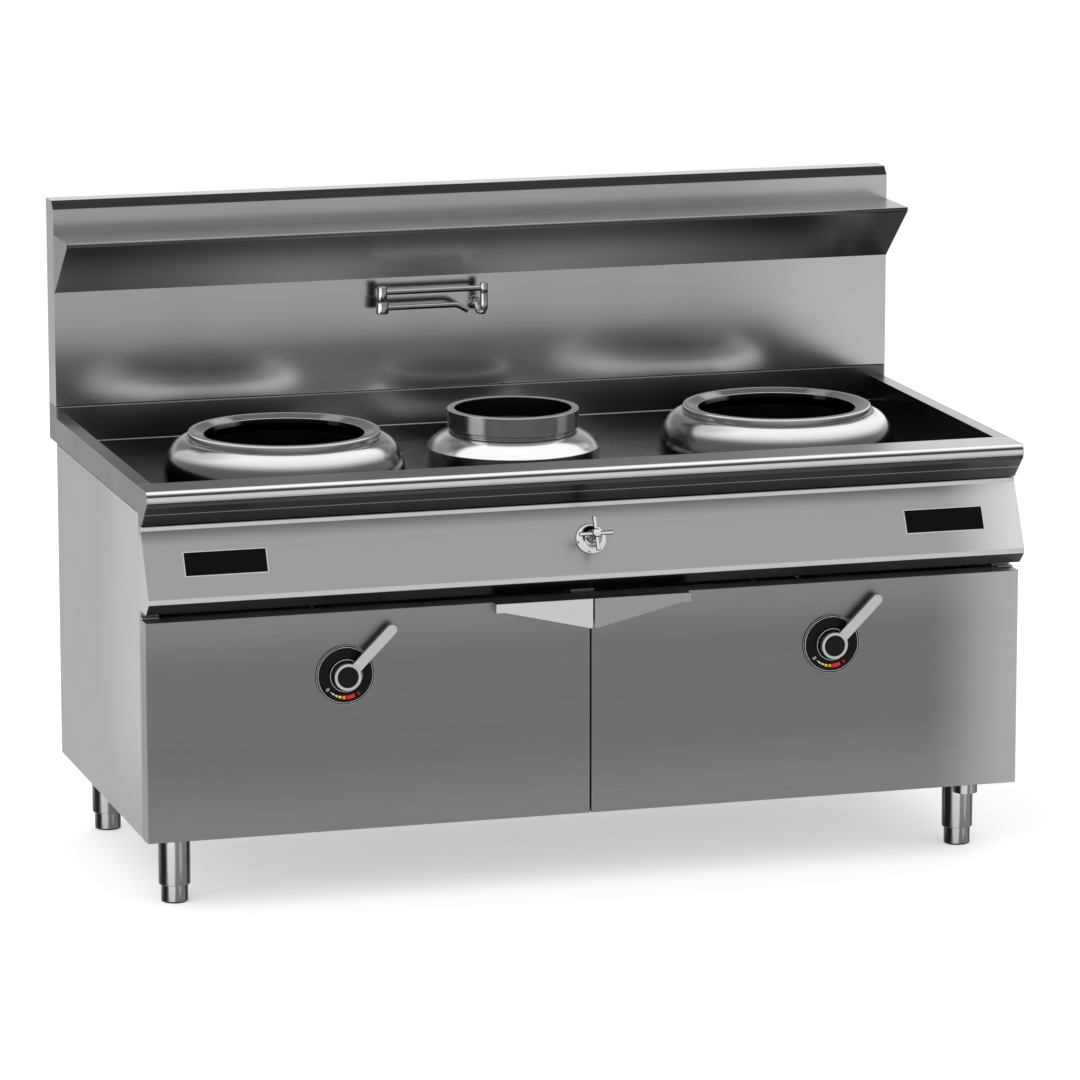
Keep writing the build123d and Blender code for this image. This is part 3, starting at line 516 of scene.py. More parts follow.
class BrushedGrain(Grained):
    """Fine lines of brushed sheet: noise that is stretched along one direction."""

    NAME = "brushed_grain"
    INPUTS = (("Stretch", "NodeSocketVector", (5.0, 900.0, 900.0)),)

    def place(self, draft: Draft, given: object) -> bpy.types.NodeSocket:
        """The object's coordinates, stretched."""
        return draft.vector("MULTIPLY", draft.where(), given["Stretch"]).outputs[0]


class TurnedGrain(Grained):
    """Fine rings of spun sheet round an upright axis."""

    NAME = "turned_grain"
    INPUTS = (("Centre", "NodeSocketVector", (0.0, 0.0, 0.0)), ("Fineness", "NodeSocketFloat", 900.0))

    def place(self, draft: Draft, given: object) -> bpy.types.NodeSocket:
        """The distance from the axis and the height.

        Args:
            draft: Draft of the material's or the group's nodes.
            given: What the group is given, by name.

        Returns:
            The place, as a vector.
        """
        parts = draft.add("ShaderNodeSeparateXYZ")
        draft.feed(parts.inputs[0], draft.vector("SUBTRACT", draft.where(), given["Centre"]).outputs[0])
        squares = [draft.math("MULTIPLY", part, part) for part in parts.outputs[:2]]
        radius = draft.math("SQRT", draft.math("ADD", *squares))
        joined = draft.add("ShaderNodeCombineXYZ")
        for socket, part in zip(joined.inputs, (radius, parts.outputs[2])):
            draft.feed(socket, draft.math("MULTIPLY", part, given["Fineness"]))
        return joined.outputs[0]


class EdgeHighlight(Effect):
    """Painted edge highlight: lighter edges where a rounded normal leaves the true one."""

    NAME = "painted_edge_highlight"
    INPUTS = (("Radius", "NodeSocketFloat", 0.0015),)
    OUTPUTS = (("Mask", "NodeSocketFloat"), ("Normal", "NodeSocketVector"))
    GAIN = 5.0

    def fill(self, draft: Draft, given: object, wanted: object) -> None:
        """Compares the Bevel node's normal with the surface's own.

        Args:
            draft: Draft of the material's or the group's nodes.
            given: What the group is given, by name.
            wanted: What the group has to give, by name.
        """
        rounded = draft.add("ShaderNodeBevel", samples=4)
        draft.feed(rounded.inputs["Radius"], given["Radius"])
        own = draft.add("ShaderNodeNewGeometry").outputs["Normal"]
        alike = draft.vector("DOT_PRODUCT", rounded.outputs[0], own).outputs["Value"]
        apart = draft.math("SUBTRACT", 1.0, alike)
        draft.feed(wanted["Mask"], draft.math("MULTIPLY", apart, self.GAIN, clamp=True))
        draft.feed(wanted["Normal"], rounded.outputs[0])


class SoftReach(Effect):
    """Soft change by how far something reaches along a direction."""

    SOURCE = "Object"
    INPUTS = (
        ("Direction", "NodeSocketVector", (0.0, 0.0, 1.0)),
        ("From", "NodeSocketFloat", 0.0),
        ("To", "NodeSocketFloat", 1.0),
    )
    OUTPUTS = (("Mask", "NodeSocketFloat"),)

    def fill(self, draft: Draft, given: object, wanted: object) -> None:
        """Maps the reach along the direction smoothly to 0 and 1.

        Args:
            draft: Draft of the material's or the group's nodes.
            given: What the group is given, by name.
            wanted: What the group has to give, by name.
        """
        reach = draft.vector("DOT_PRODUCT", draft.where(self.SOURCE), given["Direction"])
        ramp = draft.add("ShaderNodeMapRange", interpolation_type="SMOOTHSTEP")
        draft.feed(ramp.inputs["Value"], reach.outputs["Value"])
        draft.feed(ramp.inputs["From Min"], given["From"])
        draft.feed(ramp.inputs["From Max"], given["To"])
        draft.feed(wanted["Mask"], ramp.outputs[0])


class PlaceAlong(SoftReach):
    """Mask of a soft change along a direction, from one distance to another, for painted light and shade."""

    NAME = "place_along"


class FaceTowards(SoftReach):
    """Mask of the faces that look towards a direction of the part, for painted highlights and shade."""

    NAME = "face_towards"
    SOURCE = "Normal"


class HandlingMarks(Effect):
    """Large faint patches, as wiping and handling leave them."""

    NAME = "handling_marks"
    INPUTS = (("Size", "NodeSocketFloat", 7.0),)
    OUTPUTS = (("Mask", "NodeSocketFloat"),)

    def fill(self, draft: Draft, given: object, wanted: object) -> None:
        """Reads a large noise on the object's coordinates."""
        draft.feed(wanted["Mask"], draft.noise(draft.where(), given["Size"], 3.0))


class Effects:
    """The shared node groups."""

    def __init__(self) -> None:
        """Makes each group once."""
        self.brushed = BrushedGrain().tree
        self.turned = TurnedGrain().tree
        self.edge = EdgeHighlight().tree
        self.along = PlaceAlong().tree
        self.towards = FaceTowards().tree
        self.marks = HandlingMarks().tree


class Axis(Enum):
    """Directions of a sweep."""

    X = (1.0, 0.0, 0.0)
    Y = (0.0, 1.0, 0.0)
    Z = (0.0, 0.0, 1.0)


class Hand(Enum):
    """Sides of the range, with the sign of their x."""

    LEFT = -1
    RIGHT = 1

    def of(self, name: str) -> str:
        """Name of this side's solid, piece or finish."""
        return f"{self.name.lower()}_{name}"


class Grain(Enum):
    """Stretch of a brushed grain, per metre."""

    ACROSS = (4.0, 900.0, 900.0)
    DEEP = (900.0, 4.0, 900.0)
    UPRIGHT = (900.0, 900.0, 4.0)
    CAST = (260.0, 260.0, 260.0)
    SOFT = (40.0, 40.0, 40.0)


@dataclass(frozen=True)
class Sweep:
    """Painted light and shade: a tone that comes in softly along an axis, between two places in millimetres.
    """

    axis: Axis
    start: float
    end: float
    tone: float
    strength: float = 1.0

    def mask(self, draft: Draft, effects: Effects) -> bpy.types.NodeSocket:
        """Where the tone shows.

        Args:
            draft: Draft of the material's or the group's nodes.
            effects: The shared node groups.

        Returns:
            Mask from 0 to 1.
        """
        origin = CENTRE_Y if self.axis is Axis.Y else 0.0
        start, end = (self.start - origin) * MM, (self.end - origin) * MM
        return draft.group(effects.along, Direction=self.axis.value, From=start, To=end).outputs["Mask"]


@dataclass(frozen=True)
class Side:
    """Painted highlight and shade: tone of the faces that look towards a direction."""

    direction: Triple
    tone: float
    start: float = 0.6
    end: float = 0.85
    strength: float = 1.0

    def mask(self, draft: Draft, effects: Effects) -> bpy.types.NodeSocket:
        """Where the tone shows."""
        node = draft.group(effects.towards, Direction=self.direction, From=self.start, To=self.end)
        return node.outputs["Mask"]


def begin(name: str) -> tuple[bpy.types.Material, Draft, bpy.types.NodeInputs]:
    """New material with its draft and its shader's sockets.

    Args:
        name: Name of the material.

    Returns:
        The material, its draft and the shader's sockets.
    """
    material = bpy.data.materials.new(name)
    material.use_nodes = True
    return material, Draft(material.node_tree), material.node_tree.nodes["Principled BSDF"].inputs


@dataclass(frozen=True)
class WearAndEdgeHighlight:
    """What grain, a painted edge highlight and handling marks add to a finish."""

    roughness: float
    relief: float
    line_share: float
    line_tone: Tone
    edge_highlight_share: float
    edge_highlight_tone: Tone
    edge_radius: float = 0.0016
    marks: float = 0.08

    def lay(
        self,
        draft: Draft,
        effects: Effects,
        sockets: bpy.types.NodeInputs,
        colour: object,
        grain: bpy.types.Node,
    ) -> None:
        """Lays the grain, the painted edge highlight and the handling marks over a colour and feeds the
        shader.

        Args:
            draft: Draft of the material.
            effects: The shared node groups.
            sockets: Sockets of the shader.
            colour: Colour below the grain and the painted edge highlight.
            grain: Node of the fine lines.
        """
        lines = draft.math("MULTIPLY", grain.outputs["Tone"], self.line_share)
        colour = draft.mix(lines, colour, self.line_tone)
        # Painted highlight: edges are mixed towards a lighter tone where the rounded normal leaves the true
        # one.
        edge = draft.group(effects.edge, Radius=self.edge_radius)
        edge_highlight = draft.math("MULTIPLY", edge.outputs["Mask"], self.edge_highlight_share)
        draft.feed(sockets["Base Color"], draft.mix(edge_highlight, colour, self.edge_highlight_tone))
        marks = draft.group(effects.marks).outputs["Mask"]
        rough = draft.math("MULTIPLY_ADD", marks, self.marks, self.roughness - self.marks / 2)
        draft.feed(sockets["Roughness"], rough)
        bump = draft.add("ShaderNodeBump")
        bump.inputs["Strength"].default_value = self.relief
        bump.inputs["Distance"].default_value = 0.001
        draft.feed(bump.inputs["Height"], grain.outputs["Height"])
        draft.feed(bump.inputs["Normal"], edge.outputs["Normal"])
        draft.feed(sockets["Normal"], bump.outputs[0])


@dataclass(frozen=True)
class Metal:
    """A metal finish with its grain, painted light, shade and reflections as changes of tone, a painted edge
    highlight and marks.
    """

    name: str
    tone: float
    roughness: float = 0.34
    grain: Grain = Grain.ACROSS
    grain_share: float = 0.05
    edge_highlight_tone: float = 235.0
    edge_highlight_share: float = 0.55
    sweeps: tuple[Sweep, ...] = ()
    sides: tuple[Side, ...] = ()
    tint: Triple = (1.0, 1.0, 1.0)
    metallic: float = 1.0
    relief: float = 0.012
    centre: tuple[float, float] | None = None
    painted_bands: Profile = ()

    def colour(self, level: float) -> Tone:
        """Colour of a display level with the finish's tint."""
        return (*(grey(level) * share for share in self.tint), 1.0)

    def paint_bands(self, draft: Draft) -> bpy.types.NodeSocket:
        """Painted reflection and shade: tone by how far a face looks up, from -1 for straight down to 1.

        Args:
            draft: Draft of the material's or the group's nodes.

        Returns:
            The tone.
        """
        split = draft.add("ShaderNodeSeparateXYZ")
        draft.feed(split.inputs[0], draft.where("Normal"))
        ramp = draft.add("ShaderNodeValToRGB")
        draft.feed(ramp.inputs[0], draft.math("MULTIPLY_ADD", split.outputs[2], 0.5, 0.5))
        stops = ramp.color_ramp.elements
        stops.remove(stops[1])
        stops[0].position = self.painted_bands[0][0] / 2 + 0.5
        stops[0].color = self.colour(self.painted_bands[0][1])
        for height, level in self.painted_bands[1:]:
            stops.new(height / 2 + 0.5).color = self.colour(level)
        return ramp.outputs[0]

    def make(self, effects: Effects) -> bpy.types.Material:
        """Builds the material from the shared node groups.

        Args:
            effects: The shared node groups.

        Returns:
            The material.
        """
        material, draft, sockets = begin(self.name)
        sockets["Metallic"].default_value = self.metallic
        colour: object = self.paint_bands(draft) if self.painted_bands else self.colour(self.tone)
        # Painted light and shade: each sweep and each side mixes its tone in where its mask shows.
        for change in (*self.sweeps, *self.sides):
            share = draft.math("MULTIPLY", change.mask(draft, effects), change.strength)
            colour = draft.mix(share, colour, self.colour(change.tone))
        if self.centre is None:
            grain = draft.group(effects.brushed, Stretch=self.grain.value)
        else:
            grain = draft.group(effects.turned, Centre=tuple(Place.point(*self.centre, 0.0)))
        # Tone of the painted highlight along the edges.
        edge_highlight_tone = self.colour(self.edge_highlight_tone)
        wear_and_highlight = WearAndEdgeHighlight(self.roughness, self.relief, self.grain_share, WHITE, self.edge_highlight_share, edge_highlight_tone)
        wear_and_highlight.lay(draft, effects, sockets, colour, grain)
        return material


@dataclass(frozen=True)
class Coating:
    """A painted, enamelled or plastic finish, whose edges get a painted highlight."""

    name: str
    base: Triple
    roughness: float = 0.4
    shine: float = 0.3
    relief: float = 0.03
    speckle: float = 0.06
    edge_highlight_share: float = 0.35
    edge_radius: float = 0.0008
    marks: float = 0.1

    def make(self, effects: Effects) -> bpy.types.Material:
        """Builds the material from the shared node groups.

        Args:
            effects: The shared node groups.

        Returns:
            The material.
        """
        material, draft, sockets = begin(self.name)
        sockets["Specular IOR Level"].default_value = self.shine
        grain = draft.group(effects.brushed, Stretch=Grain.CAST.value)
        # Lighter copy of the base, for the grain's speckle and for the painted highlight along the edges.
        lighter = (*(min(1.0, part * 1.35 + 0.004) for part in self.base), 1.0)
        wear_and_highlight = WearAndEdgeHighlight(
            self.roughness, self.relief, self.speckle, lighter, self.edge_highlight_share, lighter, self.edge_radius,
            self.marks,
        )
        wear_and_highlight.lay(draft, effects, sockets, (*self.base, 1.0), grain)
        return material


FRONTWARDS, LEFTWARDS, RIGHTWARDS = (0.0, -1.0, 0.0), (-1.0, 0.0, 0.0), (1.0, 0.0, 0.0)
UPWARDS, UNDER = (0.0, 0.0, 1.0), (0.0, 0.0, -1.0)
# Painted light: door steel lighter towards its top and towards its bottom.
DOOR_PAINTED_LIGHT = (Sweep(Axis.Z, 480, 590, 113), Sweep(Axis.Z, 330, 150, 113))
# Painted shade: the pulls' top and underside dark.
PULL_PAINTED_SHADE = (Side(UPWARDS, 45), Side(UNDER, 40))
# Painted shade: ends that look left or right darker.
BOX_END_PAINTED_SHADE = (Side(LEFTWARDS, 71), Side(RIGHTWARDS, 110))


def wok_finishes(side: Hand) -> tuple[Metal, Metal]:
    """Steel of the ring and the dome of one wok place, turned round that place's middle, with painted
    reflections, highlights and shade.

    Args:
        side: Side of the range.

    Returns:
        Finish of the ring and finish of the dome.
    """
    middle = (side.value * WOK_X, WOK_Y)
    ring = Metal(
        side.of("wok_ring_steel"), 132, 0.18, centre=middle, grain_share=0.03, edge_highlight_share=0.2, metallic=0.7,
        # Painted reflection and highlights on the ring, by the way its faces look.
        painted_bands=(
            (-1.0, 60), (-0.3, 110), (0.0, 138), (0.15, 150), (0.4, 215), (0.7, 225), (0.87, 150),
            (0.95, 138), (0.99, 160), (1.0, 165),
        ),
        sides=(
            Side((0.187, -0.267, 0.945), 245, 0.9968, 0.9995),
            Side((-0.245, -0.215, 0.945), 215, 0.9975, 0.9997),
        ),
    )
    dome = Metal(
        side.of("wok_dome_steel"), 200, 0.18, centre=middle, grain_share=0.03, edge_highlight_share=0.1,
        # Painted reflection and shade on the dome, by the way its faces look.
        painted_bands=(
            (-1.0, 40), (0.0, 74), (0.38, 80), (0.44, 100), (0.52, 175), (0.58, 215), (0.68, 236),
            (0.8, 244), (0.93, 240), (0.97, 215), (0.985, 235), (1.0, 200),
        ),
        sides=(
            Side((0.93, -0.28, 0.24), 92, 0.84, 0.97, 0.85),
            Side((-0.62, -0.1, 0.78), 158, 0.88, 0.98, 0.7),
        ),
    )
    return ring, dome


# The sweeps, sides and painted bands of these finishes paint light, shade and reflections into the colour;
# they don't come from the lamps.
METALS = (
    # Painted light: the side panels lighter towards the front, less so near the bottom.
    Metal(
        "side_panel_sheet", 133, 0.36, Grain.DEEP, grain_share=0.03,
        sweeps=(Sweep(Axis.Y, 500, 51, 160), Sweep(Axis.Z, 400, 150, 134, 0.8)),
    ),
    # Painted light and shade: the doors' undersides dark, and the right door lighter towards its right end.
    Metal("left_door_sheet", 97, 0.36, sweeps=DOOR_PAINTED_LIGHT, sides=(Side(UNDER, 40),)),
    Metal(
        "right_door_sheet", 97, 0.36,
        sweeps=(*DOOR_PAINTED_LIGHT, Sweep(Axis.X, 700, 900, 156)), sides=(Side(UNDER, 40),),
    ),
    # Painted light: the left pull's steel is lighter than the right pull's, as the light falls on them.
    Metal("left_pull_sheet", 182, 0.3, sides=PULL_PAINTED_SHADE, edge_highlight_share=0.4),
    Metal("right_pull_sheet", 132, 0.3, sides=PULL_PAINTED_SHADE, edge_highlight_share=0.4),
    # Painted light and shade: the band darker towards its top edge, lighter towards its right end, undersides
    # near black, front faces a little lighter.
    Metal(
        "fascia_sheet", 155, 0.32,
        sweeps=(Sweep(Axis.Z, 735, 768, 108), Sweep(Axis.X, 720, 900, 214)),
        sides=(Side(UNDER, 3, 0.3, 0.6), Side(FRONTWARDS, 175, 0.97, 0.995)),
    ),
    # Painted reflection: light and dark bands round the nose by how far its faces look up.
    Metal(
        "nose_roll", 140, 0.2, edge_highlight_share=0.1,
        painted_bands=(
            (-1.0, 8), (-0.6, 8), (-0.36, 22), (-0.2, 105), (-0.1, 135), (0.0, 182), (0.09, 186),
            (0.16, 90), (0.24, 46), (0.42, 50), (0.55, 130), (0.66, 240), (0.8, 255), (0.92, 240),
            (0.97, 158), (1.0, 140),
        ),
    ),
    # Painted shade: the nosing's underside dark.
    Metal("nose_under_shade", 46, 0.3, edge_highlight_share=0.1),
    # Painted highlight: a small ridge on the dark underside in lighter steel.
    Metal("nose_ridge_highlight", 120, 0.3, edge_highlight_share=0.0),
    # Painted light: the rim's flat top lighter towards the right.
    Metal("front_rim_sheet", 130, 0.3, sweeps=(Sweep(Axis.X, -300, 880, 192),), edge_highlight_share=0.3),
    # Painted shade: the left rim darker than the right rim, and its faces that look left or right darker
    # still.
    Metal(
        "left_rim_sheet", 118, 0.3, Grain.DEEP, grain_share=0.02,
        sides=(Side(LEFTWARDS, 20), Side(RIGHTWARDS, 60)),
    ),
    # Painted light and shade: upward faces lighter, faces that look left darker.
    Metal("right_rim_sheet", 150, 0.3, Grain.DEEP, sides=(Side(UPWARDS, 175), Side(LEFTWARDS, 60))),
    # Painted shade: the pan floor darker towards both ends.
    Metal(
        "pan_floor_sheet", 205, 0.2, sweeps=(Sweep(Axis.X, -300, -870, 75), Sweep(Axis.X, 300, 870, 75))
    ),
    # Painted light and shade: the upstand darker towards the right, upward faces lighter.
    Metal(
        "upstand_sheet", 110, 0.24,
        sweeps=(Sweep(Axis.X, 300, 870, 70),), sides=(Side(UPWARDS, 150, 0.9, 0.97),),
    ),
    # Painted light and shade: lighter towards the bottom and the right, upward faces lighter, faces sloping
    # up and forwards dark, ends darker.
    Metal(
        "splashback_sheet", 138, 0.18,
        sweeps=(Sweep(Axis.Z, 980, 900, 215, 0.7), Sweep(Axis.X, 450, 800, 160)),
        sides=(Side(UPWARDS, 178, 0.9, 0.97), Side((0.0, -0.75, 0.66), 26, 0.93, 0.98), *BOX_END_PAINTED_SHADE),
    ),
    # Painted light and shade: darker towards the top and towards the right end, black at the end; upward
    # faces a little darker, front faces dark, ends darker.
    Metal(
        "shelf_sheet", 225, 0.3, grain_share=0.0, edge_highlight_share=0.0,
        sweeps=(Sweep(Axis.Z, 1130, 1215, 130), Sweep(Axis.X, 700, 790, 70), Sweep(Axis.X, 770, 850, 0)),
        sides=(Side(UPWARDS, 172), Side(FRONTWARDS, 62, 0.97, 0.995), *BOX_END_PAINTED_SHADE),
    ),
    Metal("frame_sheet", 150, 0.42, relief=0.03),
    # Painted highlight: steel made bright for thin lines along the pan's fold and round the windows.
    Metal("highlight_line_steel", 215, 0.3, edge_highlight_share=0.0),
    Metal("polished_tube", 175, 0.16, Grain.UPRIGHT, grain_share=0.03),
    # Painted reflection: light and dark upright stripes round the legs by the way each face looks.
    Metal(
        "leg_steel", 112, 0.14, Grain.UPRIGHT, grain_share=0.02, edge_highlight_share=0.1,
        sides=(
            Side((-0.916, -0.402, 0.0), 14, 0.9, 0.94),
            Side((-0.968, -0.25, 0.0), 90, 0.993, 0.999),
            Side((-0.404, -0.915, 0.0), 196, 0.955, 0.985),
            Side((0.185, -0.983, 0.0), 150, 0.993, 0.999),
            Side((0.86, -0.51, 0.0), 2, 0.91, 0.95),
        ),
    ),
    # Painted reflection: light and dark bands by how far a face looks up, and a darker left side.
    Metal(
        "tap_chrome", 235, 0.08, Grain.SOFT, grain_share=0.0, relief=0.0, edge_highlight_share=0.0,
        painted_bands=(
            (-1.0, 8), (-0.75, 10), (-0.5, 80), (-0.3, 165), (0.0, 195), (0.4, 215), (0.6, 225),
            (0.75, 90), (0.88, 16), (1.0, 16),
        ),
        sides=(Side((-0.98, -0.2, 0.0), 22, 0.8, 0.93),),
    ),
    # Painted reflection: light and dark bands by how far a face looks up, a highlight on faces to the left
    # front, shade on faces to the right.
    Metal(
        "chromed_brass", 150, 0.1, Grain.SOFT, grain_share=0.02, relief=0.0, edge_highlight_share=0.25,
        painted_bands=(
            (-1.0, 20), (-0.5, 24), (-0.2, 120), (0.05, 120), (0.3, 60), (0.5, 190), (0.75, 255), (1.0, 215)
        ),
        sides=(Side((-0.62, -0.78, 0.0), 240, 0.93, 0.99), Side((0.8, -0.6, 0.0), 45, 0.9, 0.99)),
    ),
    Metal("lever_steel", 168, 0.28, Grain.SOFT, grain_share=0.04, edge_highlight_share=0.4),
    Metal("plain_brass", 200, 0.32, Grain.SOFT, tint=(1.0, 0.78, 0.42), edge_highlight_share=0.3),
    *wok_finishes(Hand.LEFT),
    *wok_finishes(Hand.RIGHT),
    # Painted reflection and shade: bands by how far a face looks up, two upright highlights and dark outer
    # sides.
    Metal(
        "pot_ring_steel", 100, 0.2, centre=(0, POT_Y), grain_share=0.03, metallic=0.4,
        painted_bands=((-1.0, 50), (-0.1, 100), (0.0, 112), (0.2, 130), (0.6, 210), (0.9, 170), (1.0, 125)),
        sides=(
            Side((-0.97, -0.24, 0.0), 32, 0.93, 0.98),
            Side((-0.762, -0.648, 0.0), 215, 0.984, 0.999),
            Side((0.525, -0.851, 0.0), 165, 0.99, 0.999),
            Side((0.85, -0.52, 0.0), 50, 0.985, 0.998),
        ),
    ),
    # Painted reflection and shade: a bright crown, a dark lower wall, its left side darker.
    Metal(
        "pot_dome_steel", 200, 0.2, centre=(0, POT_Y), grain_share=0.02, edge_highlight_share=0.2,
        painted_bands=(
            (-1.0, 30), (0.0, 62), (0.2, 90), (0.42, 180), (0.58, 250), (0.85, 255), (0.98, 245), (1.0, 230)
        ),
        sides=(Side((-0.85, 0.1, 0.5), 130, 0.9, 0.99, 0.8),),
    ),
    # Painted shade: the wok rings' inside dark, with painted highlights on two sides.
    Metal(
        "ring_inside", 9, 0.3, edge_highlight_share=0.25,
        sides=(
            Side((0.556, -0.83, 0.0), 225, 0.96, 0.995),
            Side((-0.793, -0.609, 0.0), 120, 0.993, 0.999),
        ),
    ),
    # Painted shade: the pot ring's inside dark.
    Metal("pot_ring_inside", 10, 0.3, edge_highlight_share=0.25),
    Metal("cast_bowl", 8, 0.6, Grain.CAST, edge_highlight_tone=40, relief=0.25, grain_share=0.01),
    Metal("cast_burner", 52, 0.6, Grain.CAST, edge_highlight_tone=110, relief=0.3, grain_share=0.03),
)

COATINGS = (
    Coating("dial_enamel", (0.004, 0.004, 0.0045), 0.35, shine=0.08),
    Coating("dial_line", (0.55, 0.55, 0.55)),
    Coating("window_glaze", (0.0035, 0.0035, 0.004), 0.3, shine=0.03, relief=0.0),
    Coating("cap_plastic", (0.004, 0.004, 0.004), 0.35, shine=0.1),
    Coating("scale_white", (0.8, 0.8, 0.78)),
    Coating("scale_pale", (0.78, 0.74, 0.42)),
    Coating("scale_yellow", (0.78, 0.68, 0.03)),
    Coating("scale_orange", (0.83, 0.27, 0.01)),
    Coating("scale_red", (0.72, 0.006, 0.004)),
    Coating("gas_yellow", (0.62, 0.42, 0.03), 0.45),
    Coating("foot_rubber", (0.008, 0.008, 0.008), 0.7, relief=0.08),
)


# ---------------------------------------------------------------- the range's pieces


@dataclass
class Assembly:
    """What each sub-assembly works with."""

    nodes: dict[str, bpy.types.Object]
    finishes: dict[str, bpy.types.Material]

    def dress(self, finish: str, *names: str) -> None:
        """Gives solids that stay one finish.

        Args:
            finish: Name of the finish.
            *names: Names of the solids.
        """
        for name in names:
            slots = self.nodes[name].data.materials
            slots.clear()
            slots.append(self.finishes[finish])
            LOG.info("solid %s in %s", name, finish)

    def add(
        self,
        shape: Shape,
        name: str,
        finishes: Sequence[str],
        slot: str,
        stands_for: str = "",
        body: str = "root",
        place: Matrix | None = None,
        even: bool = False,
    ) -> None:
        """Makes a shape an object of the part.

        Args:
            shape: The shape in its local millimetres, which is used up.
            name: Name of the object.
            finishes: Names of the finishes, in the order of the faces' slots.
            slot: Not used.
            stands_for: Solid that the object replaces.
            body: Body that it rides on.
            place: Matrix in metres for the local millimetres; the source's own axes without it.
            even: Whether flat faces keep their normals beside bevels.
        """
        if place is None:
            place = Place.upright(0.0, 0.0)
        shape.bm.transform(place @ Matrix.Scale(MM, 4))
        mesh = bpy.data.meshes.new(name)
        shape.bm.to_mesh(mesh)
        shape.bm.free()
        for finish in finishes:
            mesh.materials.append(self.finishes[finish])
        mesh.polygons.foreach_set("use_smooth", [True] * len(mesh.polygons))
        mesh.set_sharp_from_angle(angle=SMOOTH_ANGLE)
        obj = linked(name, mesh)
        if even:
            weighted = obj.modifiers.new("even", "WEIGHTED_NORMAL")
            weighted.keep_sharp = True
        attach(obj, body)
        if stands_for:
            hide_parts(stands_for)
        LOG.info("piece %s on %s, %d faces", name, body, len(mesh.polygons))


@dataclass
class Cabinet(Assembly):
    """Cabinet sheets, frame and hinges."""

    screw_r: float = 4.0
    screw_rise: float = 2.0
    panel_rear: float = 816.5
    cover_rear: float = 877.8
    screw_columns: range = range(-870, 871, 290)

    def build(self) -> None:
        """Dresses the cabinet's solids and adds the rear screws."""
        self.dress("side_panel_sheet", "left_side_panel", "right_side_panel")
        self.dress("frame_sheet", "rear_panel", "base_panel", "frame_rails", "front_header", "centre_post")
        self.dress("frame_sheet", "door_hinges")
        self.add_rear_screws()

    def add_rear_screws(self) -> None:
        """Round screw heads round the rear panel and the splashback's cover."""
        spots = [(x, self.panel_rear, z) for x in self.screw_columns for z in (170, 745)]
        spots += [(x, self.panel_rear, z) for x in (-882, 882) for z in (320, 475, 630)]
        spots += [(x, self.cover_rear, z) for x in self.screw_columns for z in (892, 1280)]
        heads = Shape()
        for spot in spots:
            heads.join(self.head().shift(*spot))
        self.add(heads, "rear_screws", ["polished_tube"], "frame_steel")

    def head(self) -> Shape:
        """One domed head that looks to the rear.

        Returns:
            The head, in local millimetres.
        """
        r, rise = self.screw_r, self.screw_rise
        profile = [(0, rise), (r * 0.5, rise * 0.92), (r * 0.85, rise * 0.6), (r, 0), (0, 0)]
        return Shape().spin(profile, steps=12).turn(-90, "X")


